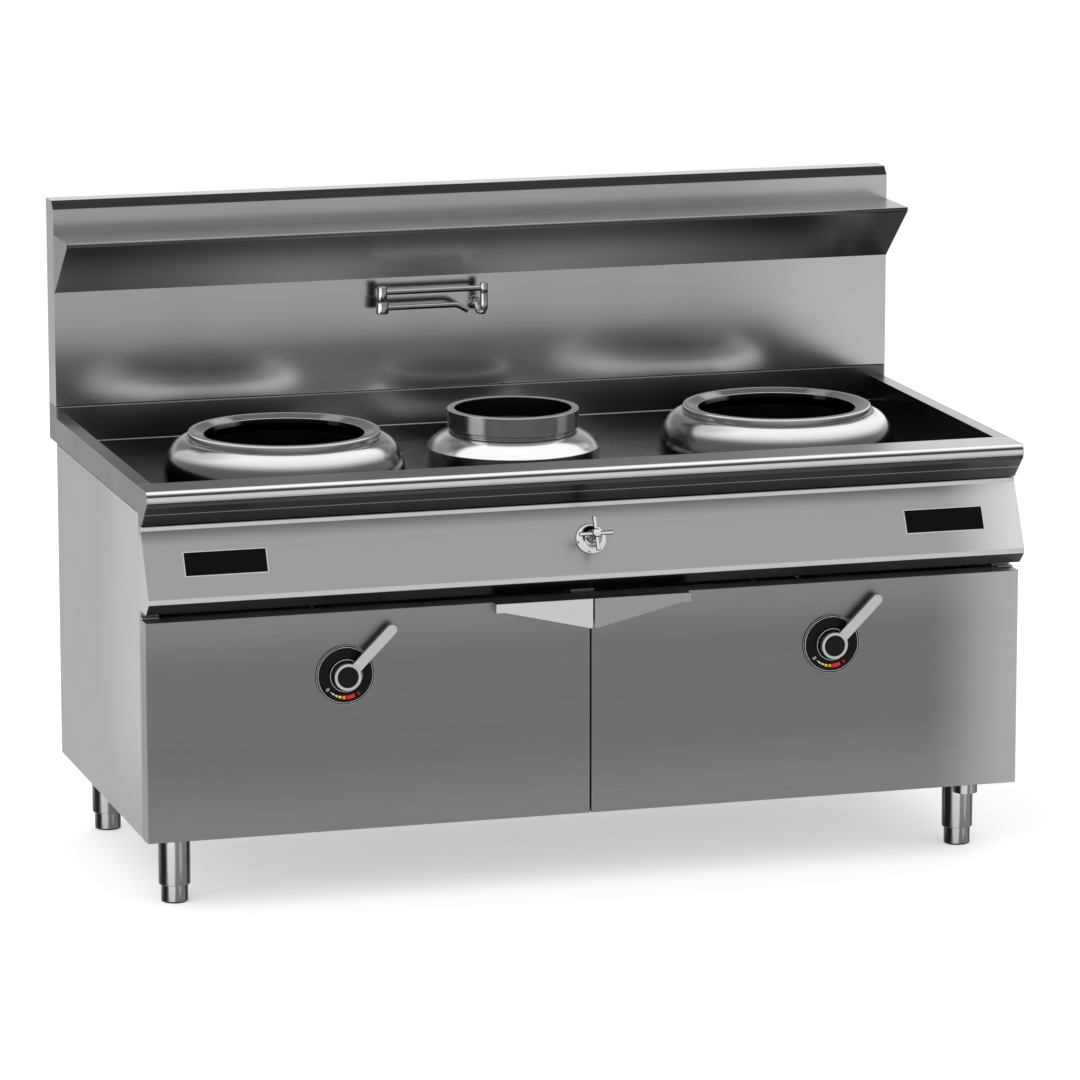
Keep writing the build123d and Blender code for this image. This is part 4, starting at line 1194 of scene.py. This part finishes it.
@dataclass
class Hob(Assembly):
    """Nosing, rims, pan floor, rear upstand, splashback and shelf."""

    end: float = 898.0
    pan_front: float = 73.0
    pan_low: float = 762.0
    rim_top: float = 851.0
    nose: float = -20.0
    roll_r: float = 13.0
    curl_r: float = 4.0
    curl_z: float = 829.5
    under_z: float = 825.4
    heel: tuple[float, float] = (27.5, 777.5)
    flange_y: float = 50.0
    seam_z: float = 801.0
    seam_end: float = 869.0

    def build(self) -> None:
        """Dresses the hob's solids and forms the rolled nosing and the pan's fold lines, painted bright as
        highlights.
        """
        self.dress("left_rim_sheet", "hob_left_rim")
        self.dress("right_rim_sheet", "hob_right_rim")
        self.dress("pan_floor_sheet", "hob_floor")
        self.dress("upstand_sheet", "hob_rear_upstand")
        self.dress("splashback_sheet", "splashback_skin")
        self.dress("frame_sheet", "splashback_rear_cover")
        self.dress("shelf_sheet", "shelf")
        self.add_nosing()
        self.add_fold_highlight()

    def outline(self) -> list[tuple[float, float]]:
        """Section of the nosing as (y, z): visible side first, then back along the inside.

        Returns:
            The corners, all the way round.
        """
        front, top, heel_z = self.pan_front, self.rim_top, self.heel[1]
        roll_y, roll_z = self.nose + self.roll_r, top - self.roll_r
        curl_y = self.nose + 0.3 + self.curl_r
        return [
            (front, self.pan_low), (front, top - 2), (front - 2, top),
            *self.arc(roll_y, roll_z, self.roll_r, 0, 84, 14),
            (self.nose, 836.4), (self.nose, 833.6), (self.nose + 0.12, 831.2),
            *self.arc(curl_y, self.curl_z, self.curl_r, 97, 180, 8),
            (-13.4, 824.6), (-14.2, 819.2), self.heel, (self.flange_y, heel_z),
            (self.flange_y, heel_z + SHEET), (28.3, heel_z + SHEET), (-11.9, 819.8), (-11.2, 826.6),
            (-15.6, 828.0), (-17.6, 830.8),
            *reversed(self.arc(roll_y, roll_z, self.roll_r - SHEET, 0, 84, 14)),
            (front - 3.2, top - SHEET), (front - SHEET, top - 3.2), (front - SHEET, self.pan_low),
        ]

    @staticmethod
    def arc(
        y: float, z: float, radius: float, start: float, end: float, steps: int
    ) -> list[tuple[float, float]]:
        """Points round a middle, by the angle from straight up towards the front."""
        angles = [math.radians(start + (end - start) * n / steps) for n in range(steps + 1)]
        return [(y - radius * math.sin(a), z + radius * math.cos(a)) for a in angles]

    def add_nosing(self) -> None:
        """Rolled front rail: flat rim, round nose, and the underside that slants back, painted dark as shade.
        """
        rail = Shape().slab(self.outline(), -self.end, self.end)
        # The underside's faces get the steel painted dark as shade, the flat top the rim's steel.
        for face in rail.bm.faces:
            middle = face.calc_center_median()
            if middle.y < self.under_z and middle.x < self.pan_front - 6:
                face.material_index = 1
            elif middle.y > self.rim_top - 0.5:
                face.material_index = 2
        # Small ridge on the underside in lighter steel: a painted highlight line.
        ridge = [(1.6, 802.2), (2.5, 801.3), (3.3, 800.5), (3.6, 801.6), (2.6, 802.6)]
        rail.join(Shape().slab(ridge, -self.end, self.end).paint(3))
        name, solid, place = "front_nosing_rolled", "hob_front_nosing", Place.section()
        finishes = ["nose_roll", "nose_under_shade", "front_rim_sheet", "nose_ridge_highlight"]
        self.add(rail, name, finishes, "hob_steel", solid, place=place, even=True)

    def add_fold_highlight(self) -> None:
        """Thin bead along the pan's rear wall, painted bright: a painted highlight along the fold."""
        z = self.seam_z
        bead = [(814.2, z - 0.9), (815.2, z - 1.0), (815.2, z + 1.0), (814.2, z + 0.4)]
        line = Shape().slab(bead, -self.seam_end, self.seam_end)
        self.add(line, "pan_fold_highlight", ["highlight_line_steel"], "hob_steel", place=Place.section())


@dataclass
class Fascia(Assembly):
    """Control band with its windows."""

    window_x: float = 739.0
    window_z: float = 702.0
    window_w: float = 163.0
    window_h: float = 46.5
    frame_w: float = 2.0
    frame_rise: float = 0.5

    def build(self) -> None:
        """Dresses the band and frames the windows."""
        self.dress("fascia_sheet", "control_fascia")
        self.dress("window_glaze", "fascia_windows")
        for side in Hand:
            self.add_frame(side)

    def add_frame(self, side: Hand) -> None:
        """Thin frame round a window, painted bright as a highlight.

        Args:
            side: Side of the range.
        """
        shape = Shape()
        w, h, f = self.window_w / 2 + 0.2, self.window_h / 2 + 0.2, self.frame_w
        for low, high, left, right in (
            (h, h + f, -w - f, w + f),
            (-h - f, -h, -w - f, w + f),
            (-h, h, -w - f, -w),
            (-h, h, w, w + f),
        ):
            corners = [(left, low), (right, low), (right, high), (left, high)]
            shape.join(Shape().slab(corners, 0.0, self.frame_rise))
        place = Place.on_band(side.value * self.window_x, self.window_z)
        self.add(shape, side.of("window_frame"), ["highlight_line_steel"], "fascia_steel", place=place)


@dataclass
class Door(Assembly):
    """One door with its pull, dial, scale, knee lever, cap, spindle and valve stem."""

    side: Hand = Hand.LEFT
    dial_x: float = 502.0
    dial_z: float = 463.0
    dial_r: float = 60.0
    dial_level: float = 3.0
    line_r: float = 55.5
    boss_r: float = 33.0
    boss_level: float = 9.0
    bore_r: float = 8.1
    hub_r: float = 27.0
    hub_low: float = 10.0
    hub_high: float = 25.0
    cap_r: float = 20.6
    cap_low: float = 22.0
    reach: float = 137.0
    bar_w: float = 22.0
    bar_low: float = 14.0
    bar_high: float = 24.0
    lever_angle: float = 45.0
    number_size: float = 11.0
    number_r: float = 45.5

    def build(self) -> None:
        """Dresses the door's solids and forms its dial and lever."""
        side = self.side
        self.dress(side.of("door_sheet"), side.of("door_skin"))
        self.dress(side.of("pull_sheet"), side.of("door_pull"))
        self.dress("frame_sheet", side.of("door_liner"))
        self.dress("polished_tube", side.of("lever_spindle"))
        self.dress("plain_brass", side.of("valve_stem"))
        self.add_dial()
        self.add_scale()
        self.add_numbers()
        self.add_lever()
        self.add_cap()

    def add_at_dial(
        self,
        shape: Shape,
        name: str,
        finishes: Sequence[str],
        slot: str,
        stands_for: str = "",
        body: str = "door",
        even: bool = False,
    ) -> None:
        """Makes a shape that stands on the dial's middle an object.

        Args:
            shape: The shape, with its local Z out of the door.
            name: Name of the object without its side.
            finishes: Names of the finishes.
            slot: Passed on to add.
            stands_for: Solid that the object replaces, without its side.
            body: Body that it rides on, without its side.
            even: Whether flat faces keep their normals beside bevels.
        """
        of = self.side.of
        place = Place.facing(self.side.value * self.dial_x, 0.0, self.dial_z, ACROSS, UP)
        solid = of(stands_for) if stands_for else ""
        self.add(shape, of(name), finishes, slot, solid, body=of(body), place=place, even=even)

    def add_dial(self) -> None:
        """Black plate with its boss, and the fine light lines round both."""
        r, b, bore, low, high = self.dial_r, self.boss_r, self.bore_r, self.dial_level, self.boss_level
        profile = [(bore, 0.1), (r, 0.1), (r, low), (b, low), (b, high), (bore, high)]
        plate = Shape().spin(profile, steps=128).soften(0.7)
        self.add_at_dial(plate, "dial", ["dial_enamel"], "black_enamel", "dial_plate", even=True)
        lines = Shape()
        rings = ((self.line_r, low, 1.0), (r - 1.0, low - 0.1, 0.7), (b - 1.0, high, 1.1))
        for middle, level, width in rings:
            inner, outer = middle - width / 2, middle + width / 2
            lines.join(Shape().ringed(inner, outer, level - 0.15, level + 0.25, steps=128))
        self.add_at_dial(lines, "dial_lines", ["dial_line"], "black_enamel")

    def sector(self, inner: float, outer: float, start: float, end: float) -> Shape:
        """Raised sector of the scale between two radii and two angles.

        Args:
            inner: Inner radius.
            outer: Outer radius.
            start: First angle in degrees.
            end: Last angle in degrees.

        Returns:
            The sector, standing at its angle.
        """
        low, high = self.dial_level - 0.1, self.dial_level + 0.25
        angle = end - start
        shape = Shape().ringed(inner, outer, low, high, steps=max(3, int(angle / 2)), angle=angle)
        rims = [e for e in shape.bm.edges if e.is_boundary]
        bmesh.ops.holes_fill(shape.bm, edges=rims, sides=4)
        bmesh.ops.recalc_face_normals(shape.bm, faces=shape.bm.faces)
        return shape.turn(start)

    def add_scale(self) -> None:
        """Coloured steps that grow from low to full heat."""
        steps = (
            ("scale_white", 43.6, 45.0, 227.0, 233.0),
            ("scale_white", 43.2, 45.6, 233.0, 240.0),
            ("scale_pale", 42.8, 46.2, 242.5, 249.0),
            ("scale_yellow", 42.2, 47.0, 251.5, 259.0),
            ("scale_orange", 41.6, 47.6, 262.0, 270.0),
            ("scale_red", 41.0, 48.6, 273.0, 294.0),
        )
        names = list(dict.fromkeys(step[0] for step in steps))
        scale = Shape()
        for finish, *limits in steps:
            scale.join(self.sector(*limits).paint(names.index(finish)))
        self.add_at_dial(scale, "dial_scale", names, "black_enamel")

    def add_numbers(self) -> None:
        """Plain numbers at both ends of the scale."""
        for label, angle, finish in (("0", 217.0, "scale_pale"), ("6", 305.0, "scale_red")):
            text = bpy.data.curves.new("number", "FONT")
            text.body = label
            text.size = self.number_size
            text.align_x = text.align_y = "CENTER"
            text.extrude = 0.15
            way = math.radians(angle)
            x, y = self.number_r * math.cos(way), self.number_r * math.sin(way)
            shape = meshed(text).turn(angle - 270).shift(x, y, self.dial_level + 0.1)
            self.add_at_dial(shape, f"dial_number_{label}", [finish], "black_enamel")

    def add_lever(self) -> None:
        """Flat bar with a rounded end, joined to a ring-shaped hub."""
        half, start = self.bar_w / 2, self.cap_r + 0.6
        reach = self.reach - half
        turns = [math.radians(a) for a in range(-90, 91, 9)]
        arc = [(reach + half * math.cos(a), half * math.sin(a)) for a in turns]
        bar = Shape().slab([(start, -half), *arc, (start, half)], self.bar_low, self.bar_high)
        bar.soften(1.3, sharper_than=50).turn(self.lever_angle)
        r, bore, cup, low, high = self.hub_r, 8.0, self.cap_r + 0.2, self.hub_low, self.hub_high
        floor = self.cap_low - 0.1
        profile = [(bore, low), (r, low), (r, high), (cup, high), (cup, floor), (bore, floor)]
        bar.join(Shape().spin(profile).soften(1.2))
        finish, solid = ["lever_steel"], "knee_lever"
        self.add_at_dial(bar, "lever_bar", finish, "chrome", solid, body="lever", even=True)

    def add_cap(self) -> None:
        """Slightly crowned cap in the hub."""
        r, low = self.cap_r, self.cap_low
        profile = [(0, low), (r, low), (r, 25.2), (r - 1, 26.0), (r * 0.6, 26.3), (0, 26.4)]
        cap = Shape().spin(profile)
        self.add_at_dial(cap, "hub_cap", ["cap_plastic"], "cap_black", "lever_cap", body="lever")


@dataclass
class WokUnit(Assembly):
    """Lift-off ring, spun dome, bowl and burner of one wok place."""

    side: Hand = Hand.LEFT
    hole_r: float = 161.0
    rim_r: float = 193.0
    rim_top: float = 881.2
    dome_r: float = 243.0
    shoulder_r: float = 197.0
    dome_edge: float = 792.0
    dome_top: float = 866.0
    floor: float = 765.0
    round_steps: int = 20

    def build(self) -> None:
        """Forms the ring and the dome and dresses the cast pieces."""
        of = self.side.of
        place = Place.upright(self.side.value * WOK_X, WOK_Y)
        pair = [of("wok_ring_steel"), "ring_inside"]
        ring, spun = of("wok_ring"), "spun_steel"
        self.add(self.ring(), of("ring_spun"), pair, spun, ring, body=of("ring"), place=place, even=True)
        self.add(self.dome(), of("dome_spun"), [of("wok_dome_steel")], spun, of("wok_dome"), place=place)
        self.dress("cast_bowl", of("combustion_bowl"))
        self.dress("cast_burner", of("burner"))

    def ring(self) -> Shape:
        """Seat sloping in to the hole, flat crest, wall and spigot.

        Returns:
            The ring, with its inside in the second slot.
        """
        hole, rim, top, seat = self.hole_r, self.rim_r, self.rim_top, self.dome_top + 0.3
        profile = [
            (hole, 864.0), (hole, 872.8), (hole + 0.5, 874.3), (hole + 1.8, 875.1),
            (180.6, top - 0.1), (182.0, top),
            (rim - 3.6, top), (rim - 2.0, top - 0.6), (rim - 0.7, top - 2.0), (rim, top - 4.0),
            (rim, seat), (179.0, seat), (179.0, 852.0), (171.0, 852.0), (168.0, 858.0),
        ]
        ring = Shape().spin(profile, steps=128).soften(0.7)
        # The inside faces get the steel painted dark as shade, with painted highlights.
        for face in ring.bm.faces:
            middle = face.calc_center_median()
            if middle.xy.length < hole + 0.4 or (middle.xy.length < 172.0 and middle.z < 865.0):
                face.material_index = 1
        return ring

    def dome(self) -> Shape:
        """Upright wall, quarter ellipse and flat ledge, two millimetres thick.

        Returns:
            The dome.
        """
        width, height = self.dome_r - self.shoulder_r, self.dome_top - self.dome_edge
        foot = [(self.dome_r - SHEET, self.floor), (self.dome_r, self.floor)]
        ledge = [(180.0, self.dome_top), (180.0, self.dome_top - SHEET)]
        inner = reversed(self.arc(width - SHEET, height - SHEET))
        return Shape().spin([*self.arc(width, height), *ledge, *inner, *foot], steps=144)

    def arc(self, width: float, height: float) -> list[tuple[float, float]]:
        """Points of a quarter ellipse, from its edge up to its shoulder.

        Args:
            width: How far the arc reaches outwards.
            height: How far it climbs.

        Returns:
            The points, from the edge to the shoulder.
        """
        angles = [math.pi / 2 * n / self.round_steps for n in range(self.round_steps + 1)]
        r, z = self.shoulder_r, self.dome_edge
        return [(r + width * math.cos(a), z + height * math.sin(a)) for a in angles]


@dataclass
class PotUnit(Assembly):
    """Lift-off pot ring on its low dome, with the flue box below."""

    band_r: float = 135.5
    hole_r: float = 120.4
    top: float = 874.0
    band_bottom: float = 836.0
    neck_r: float = 130.0
    spigot_r: float = 120.5
    spigot_bore: float = 114.0
    dome_top: float = 828.0
    dome_r: float = 178.5
    dome_edge: float = 796.0
    crown_r: float = 132.0
    ledge_r: float = 122.0
    floor: float = 765.0
    round_steps: int = 16

    def build(self) -> None:
        """Forms the ring and the dome."""
        place = Place.upright(0.0, POT_Y)
        pair, spun = ["pot_ring_steel", "pot_ring_inside"], "spun_steel"
        ring, body = self.ring(), "pot_grate"
        self.add(ring, "pot_band_spun", pair, spun, "pot_ring", body=body, place=place, even=True)
        self.add(self.dome(), "pot_dome_spun", ["pot_dome_steel"], spun, "pot_dome", place=place)
        self.dress("cast_bowl", "pot_flue_box")

    def ring(self) -> Shape:
        """Band above a narrower neck.

        Returns:
            The ring, with its inside in the second slot.
        """
        band, hole, top, low = self.band_r, self.hole_r, self.top, self.band_bottom
        neck, spigot, bore, foot = self.neck_r, self.spigot_r, self.spigot_bore, self.dome_top + 0.3
        profile = [
            (bore, 812.0), (spigot, 812.0), (spigot, foot), (neck, foot), (neck, low), (band, low),
            (band, top - 1.2), (band - 1.2, top), (hole + 1.2, top), (hole, top - 1.2),
            (hole, 833.0), (bore, 826.0),
        ]
        ring = Shape().spin(profile, steps=128).soften(0.8)
        # The inside faces get the steel painted dark as shade.
        for face in ring.bm.faces:
            if face.calc_center_median().xy.length < hole + 0.5:
                face.material_index = 1
        return ring

    def dome(self) -> Shape:
        """Upright wall with a proud edge and a shallow crown, two millimetres thick.

        Returns:
            The dome.
        """
        wall, edge, top = self.dome_r - 1.5, self.dome_edge, self.dome_top
        profile = [
            (wall, self.floor), (wall, edge - 2.2), (wall + 0.5, edge - 1.2), (self.dome_r - 0.2, edge - 0.6),
            *self.crown(top, self.dome_r, 5.6),
            (self.ledge_r, top), (self.ledge_r, top - SHEET),
            *reversed(self.crown(top - SHEET, wall - SHEET, 5.2)),
            (wall - SHEET, self.floor),
        ]
        return Shape().spin(profile, steps=144)

    def crown(self, top: float, edge_r: float, rise: float) -> list[tuple[float, float]]:
        """Points of a shallow arch from the edge up to the top.

        Args:
            top: Height where the arch ends.
            edge_r: Radius of the edge.
            rise: How far the arch stands above its chord.

        Returns:
            The points, from the edge to the top.
        """
        shares = [n / self.round_steps for n in range(self.round_steps + 1)]
        way, climb = self.crown_r - edge_r, top - self.dome_edge
        length = math.hypot(way, climb)
        out_r, out_z = climb / length, -way / length
        points = [(t, 4 * rise * t * (1 - t)) for t in shares]
        return [(edge_r + way * t + out_r * b, self.dome_edge + climb * t + out_z * b) for t, b in points]


@dataclass
class Tap(Assembly):
    """Cross-handle tap on the control band."""

    z: float = 705.0
    plate_r: float = 31.0
    hub_r: float = 9.0
    hub_level: float = 42.0
    spoke_reach: float = 34.8
    spoke_r: float = 4.5

    def build(self) -> None:
        """Forms the bell plate and the handle, and dresses the tap's body."""
        place, steel, slot = Place.on_band(0.0, self.z), ["tap_chrome"], "chrome"
        self.add(self.bell(), "tap_bell", steel, slot, "tap_escutcheon", place=place)
        cross = "tap_cross_handle"
        self.add(self.handle(), "tap_cross", steel, slot, cross, body="tap_handle", place=place, even=True)
        self.dress("tap_chrome", "tap_body")

    def bell(self) -> Shape:
        """Bell-shaped plate with a rolled edge.

        Returns:
            The plate.
        """
        r = self.plate_r
        profile = [
            (12.3, 0.15), (r, 0.15), (r, 2.2), (r - 1.2, 3.3), (r - 3.0, 3.6), (r - 6.5, 4.4),
            (r - 10.5, 6.6), (r - 13.5, 10.0), (15.4, 14.2), (14.4, 15.0), (12.3, 15.0),
        ]
        return Shape().spin(profile).soften(0.5, sharper_than=25)

    def handle(self) -> Shape:
        """Hub with a crowned cap, four spokes and the short spindle.

        Returns:
            The handle.
        """
        level, hub_r, r, reach = self.hub_level, self.hub_r, self.spoke_r, self.spoke_reach
        profile = [
            (0, 2.0), (5.0, 2.0), (5.0, level - 9), (7.4, level - 9), (hub_r, level - 6.5),
            (hub_r, level + 5), (7.8, level + 7.6), (5.0, level + 8.7), (0, level + 9),
        ]
        hub = Shape().spin(profile, steps=64)
        profile = [
            (0, 5.0), (r * 0.82, 5.0), (r * 0.86, 14.0), (r, reach - 1.4), (r - 0.9, reach - 0.3),
            (0, reach),
        ]
        for turn in range(0, 360, 90):
            hub.join(Shape().spin(profile, steps=32).turn(90, "Y").shift(0, 0, level).turn(turn))
        return hub


@dataclass
class Spout(Assembly):
    """Folding pot filler below the shelf."""

    y: float = 770.0
    arm: float = 218.5
    arm_r: float = 6.0
    arm_z: float = 1088.5
    post_r: float = 8.0
    outlet_x: float = -10.0
    outlet_z: float = 1052.0

    def build(self) -> None:
        """Forms the wall elbow, the inner arm and the outer arm."""
        steel = ["chromed_brass"]
        self.add(self.elbow(), "spout_elbow", steel, "chrome", "spout_wall_elbow")
        self.add(self.inner_arm(), "spout_inner_arm", steel, "chrome", "spout_upper_arm", body="spout_inner")
        self.add(self.outer_arm(), "spout_outer_arm", steel, "chrome", "spout_lower_arm", body="spout_outer")

    def column(self, x: float, profile: Profile) -> Shape:
        """Upright turned post at x."""
        return Shape().spin(profile, steps=48).soften(0.6).shift(x, self.y, 0.0)

    def elbow(self) -> Shape:
        """Wall flange, nut, swan neck and fixed half of the first post.

        Returns:
            The elbow with its post.
        """
        r, x, z = self.post_r, self.outlet_x, self.outlet_z
        foot_z = z - 14.0
        profile = [(0, 1043), (r - 1.5, 1043), (r, 1045), (r, 1078), (4.9, 1078), (4.9, 1096), (0, 1096)]
        shape = self.column(0.0, profile)
        flange = Shape().spin([(0, 0.2), (14, 0.2), (14, 1.6), (11, 3.3), (0, 3.3)], steps=48)
        nut = Shape().spin([(0, 3.2), (9, 3.2), (9, 17), (7.6, 19), (0, 19)], steps=6).soften(0.5)
        for part in (flange, nut):
            shape.join(part.turn(90, "X").shift(x, 815.0, z))
        wall, low, foot = Vector((x, 800.0, z)), Vector((x, 781.0, foot_z)), Vector((0.0, self.y, foot_z))
        path = [*bent(wall, low, foot, 6.0, 6)[:-1], *bent(low.lerp(foot, 0.5), foot, foot + 12 * UP, 3.0, 5)]
        return shape.join(tube(path, 5.5))

    def inner_arm(self) -> Shape:
        """Collar on the first post, tube and second post.

        Returns:
            The arm with both of its posts.
        """
        r, bore = self.post_r, 5.1
        profile = [(0, 1096.4), (bore, 1096.4), (bore, 1078.4), (r, 1078.4), (r, 1098.5), (r - 1.5, 1100)]
        shape = self.column(0.0, [*profile, (0, 1100)])
        profile = [(0, 1047), (5.9, 1047), (5.9, 1069), (10, 1069), (10, 1099.2), (8.4, 1101), (0, 1101)]
        shape.join(self.column(-self.arm, profile))
        ends = [(x, self.y, self.arm_z) for x in (-6.5, -self.arm + 5)]
        return shape.join(tube(ends, self.arm_r))

    def outer_arm(self) -> Shape:
        """Sleeve on the second post and the tube with its turned-down tip.

        Returns:
            The arm with its sleeve.
        """
        profile = [(6.1, 1044), (12, 1044), (13, 1045.2), (13, 1067.4), (12, 1068.6), (6.1, 1068.6)]
        shape = self.column(-self.arm, profile)
        spots = ((-self.arm + 11, 1056), (-58, 1056), (-35, 1043))
        return shape.join(tube(bent(*(Vector((x, self.y, z)) for x, z in spots), 26.0), self.arm_r))


@dataclass
class Legs(Assembly):
    """Four leg tubes with their levelling boots."""

    x: float = 820.7
    rows: tuple[float, float] = (124.0, 739.0)
    tube_r: float = 31.75
    boot_r: float = 27.0
    tube_low: float = 36.5
    tube_top: float = 150.0

    def build(self) -> None:
        """Forms all tubes and all boots."""
        tubes, boots = Shape(), Shape()
        for x in (-self.x, self.x):
            for y in self.rows:
                tubes.join(self.tube().shift(x, y, 0))
                boots.join(self.boot().shift(x, y, 0))
        self.add(tubes, "leg_tubes_turned", ["leg_steel"], "leg_steel", "leg_tubes")
        pair = ["leg_steel", "foot_rubber"]
        self.add(boots, "leg_boots_turned", pair, "boot_black", "levelling_feet", body="feet")

    def tube(self) -> Shape:
        """One tube with a rolled lower edge."""
        bore, r = self.boot_r + 1, self.tube_r
        return Shape().ringed(bore, r, self.tube_low, self.tube_top, steps=64).soften(1.1)

    def boot(self) -> Shape:
        """One boot with its dark sole.

        Returns:
            The boot, with its sole in the second slot.
        """
        r = self.boot_r
        shape = Shape().spin([(0, 3.2), (r, 3.2), (r, 72), (8, 72), (8, 140), (0, 140)], steps=64).soften(0.8)
        sole = Shape().spin([(0, 0), (r - 2.5, 0), (r - 0.4, 1.6), (r - 0.4, 3.4), (0, 3.4)], steps=64)
        return shape.join(sole.paint(1))


@dataclass
class Services(Assembly):
    """Gas train, water pipes and waste."""

    def build(self) -> None:
        """Dresses the solids behind the doors and below the pan."""
        self.dress("gas_yellow", "gas_manifold")
        self.dress("plain_brass", "gas_valves", "pilot_burners")
        self.dress("frame_sheet", "burner_pipes")
        self.dress("chromed_brass", "water_pipes")
        self.dress("polished_tube", "waste_strainer")
        self.dress("leg_steel", "waste_pipe")


# ---------------------------------------------------------------- studio


@dataclass(frozen=True)
class Lamp:
    """One soft panel that looks at the range."""

    name: str
    place: Triple
    size: float
    power: float

    def build(self, target: Vector) -> None:
        """Adds the panel's light.

        Args:
            target: Point that the panel looks at.
        """
        light = bpy.data.lights.new(self.name, "AREA")
        light.shape = "SQUARE"
        light.size = self.size
        light.energy = self.power
        obj = linked(self.name, light)
        obj.visible_glossy = False
        obj.location = self.place
        obj.rotation_euler = (target - obj.location).to_track_quat("-Z", "Y").to_euler()


@dataclass
class Studio:
    """Camera, floor, lamps and world."""

    lens: float = 202.73
    sensor: float = 36.0
    camera_mm: Triple = (-3397.3, -11245.5, 3080.4)
    azimuth: float = 16.32
    elevation: float = 11.44
    roll: float = -0.05
    floor_size: float = 90.0
    floor_glow: float = 0.42
    world_level: float = 0.72
    lamps: tuple[Lamp, ...] = (
        Lamp("left_panel", (-4.6, -3.6, 4.2), 6.0, 190.0),
        Lamp("right_panel", (4.8, -5.0, 3.4), 6.0, 90.0),
        Lamp("rear_panel", (1.5, 4.8, 4.6), 5.0, 70.0),
    )

    def build(self) -> None:
        """Adds everything round the range."""
        bpy.context.scene.view_settings.view_transform = "Standard"
        self.add_camera()
        self.add_world()
        self.add_floor()
        for lamp in self.lamps:
            lamp.build(Vector((0.0, 0.0, 0.6)))

    def add_camera(self) -> None:
        """Camera at the photograph's place."""
        camera = bpy.data.cameras.new("camera")
        camera.lens = self.lens
        camera.sensor_width = self.sensor
        camera.clip_end = 200.0
        obj = linked("camera", camera)
        obj.location = Place.point(*self.camera_mm)
        turn = Matrix.Rotation(math.radians(-self.azimuth), 3, "Z")
        turn @= Matrix.Rotation(math.radians(90 - self.elevation), 3, "X")
        turn @= Matrix.Rotation(math.radians(self.roll), 3, "Z")
        obj.rotation_euler = turn.to_euler()
        bpy.context.scene.camera = obj

    def seen_or_mirrored(self, draft: Draft) -> bpy.types.NodeSocket:
        """One for rays from the camera and for mirrored or transmitted ones.

        Args:
            draft: Draft of the material's or the group's nodes.

        Returns:
            One or zero.
        """
        path = draft.add("ShaderNodeLightPath").outputs
        both = draft.math("ADD", path["Is Camera Ray"], path["Is Glossy Ray"])
        return draft.math("ADD", both, path["Is Transmission Ray"], clamp=True)

    def add_world(self) -> None:
        """White as seen and as mirrored, and softer as light."""
        world = bpy.data.worlds.new("studio")
        world.use_nodes = True
        draft = Draft(world.node_tree)
        background = world.node_tree.nodes["Background"].inputs
        background["Color"].default_value = WHITE
        level = (self.seen_or_mirrored(draft), 1.0 - self.world_level, self.world_level)
        draft.feed(background["Strength"], draft.math("MULTIPLY_ADD", *level))
        bpy.context.scene.world = world

    def add_floor(self) -> None:
        """White floor that keeps the range's shadow."""
        material, draft, sockets = begin("studio_floor")
        sockets["Base Color"].default_value = (0.8, 0.8, 0.8, 1.0)
        sockets["Roughness"].default_value = 0.9
        sockets["Specular IOR Level"].default_value = 0.0
        sockets["Emission Color"].default_value = WHITE
        glow = draft.math("MULTIPLY", self.seen_or_mirrored(draft), self.floor_glow)
        draft.feed(sockets["Emission Strength"], glow)
        bm = bmesh.new()
        bmesh.ops.create_grid(bm, x_segments=1, y_segments=1, size=self.floor_size / 2)
        mesh = bpy.data.meshes.new("studio_floor")
        bm.to_mesh(mesh)
        bm.free()
        mesh.materials.append(material)
        floor = linked("studio_floor", mesh)


def main() -> None:
    """Loads the solids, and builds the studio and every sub-assembly."""
    logging.basicConfig(level=logging.INFO, format="%(message)s")
    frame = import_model()
    Studio().build()
    nodes = frame["nodes"]
    effects = Effects()
    finishes = {finish.name: finish.make(effects) for finish in (*METALS, *COATINGS)}
    assemblies = (
        Cabinet(nodes, finishes),
        Hob(nodes, finishes),
        Fascia(nodes, finishes),
        *(Door(nodes, finishes, side) for side in Hand),
        *(WokUnit(nodes, finishes, side) for side in Hand),
        PotUnit(nodes, finishes),
        Tap(nodes, finishes),
        Spout(nodes, finishes),
        Legs(nodes, finishes),
        Services(nodes, finishes),
    )
    for assembly in assemblies:
        LOG.info("building %s", type(assembly).__name__)
        assembly.build()


if __name__ == "__main__":
    main()
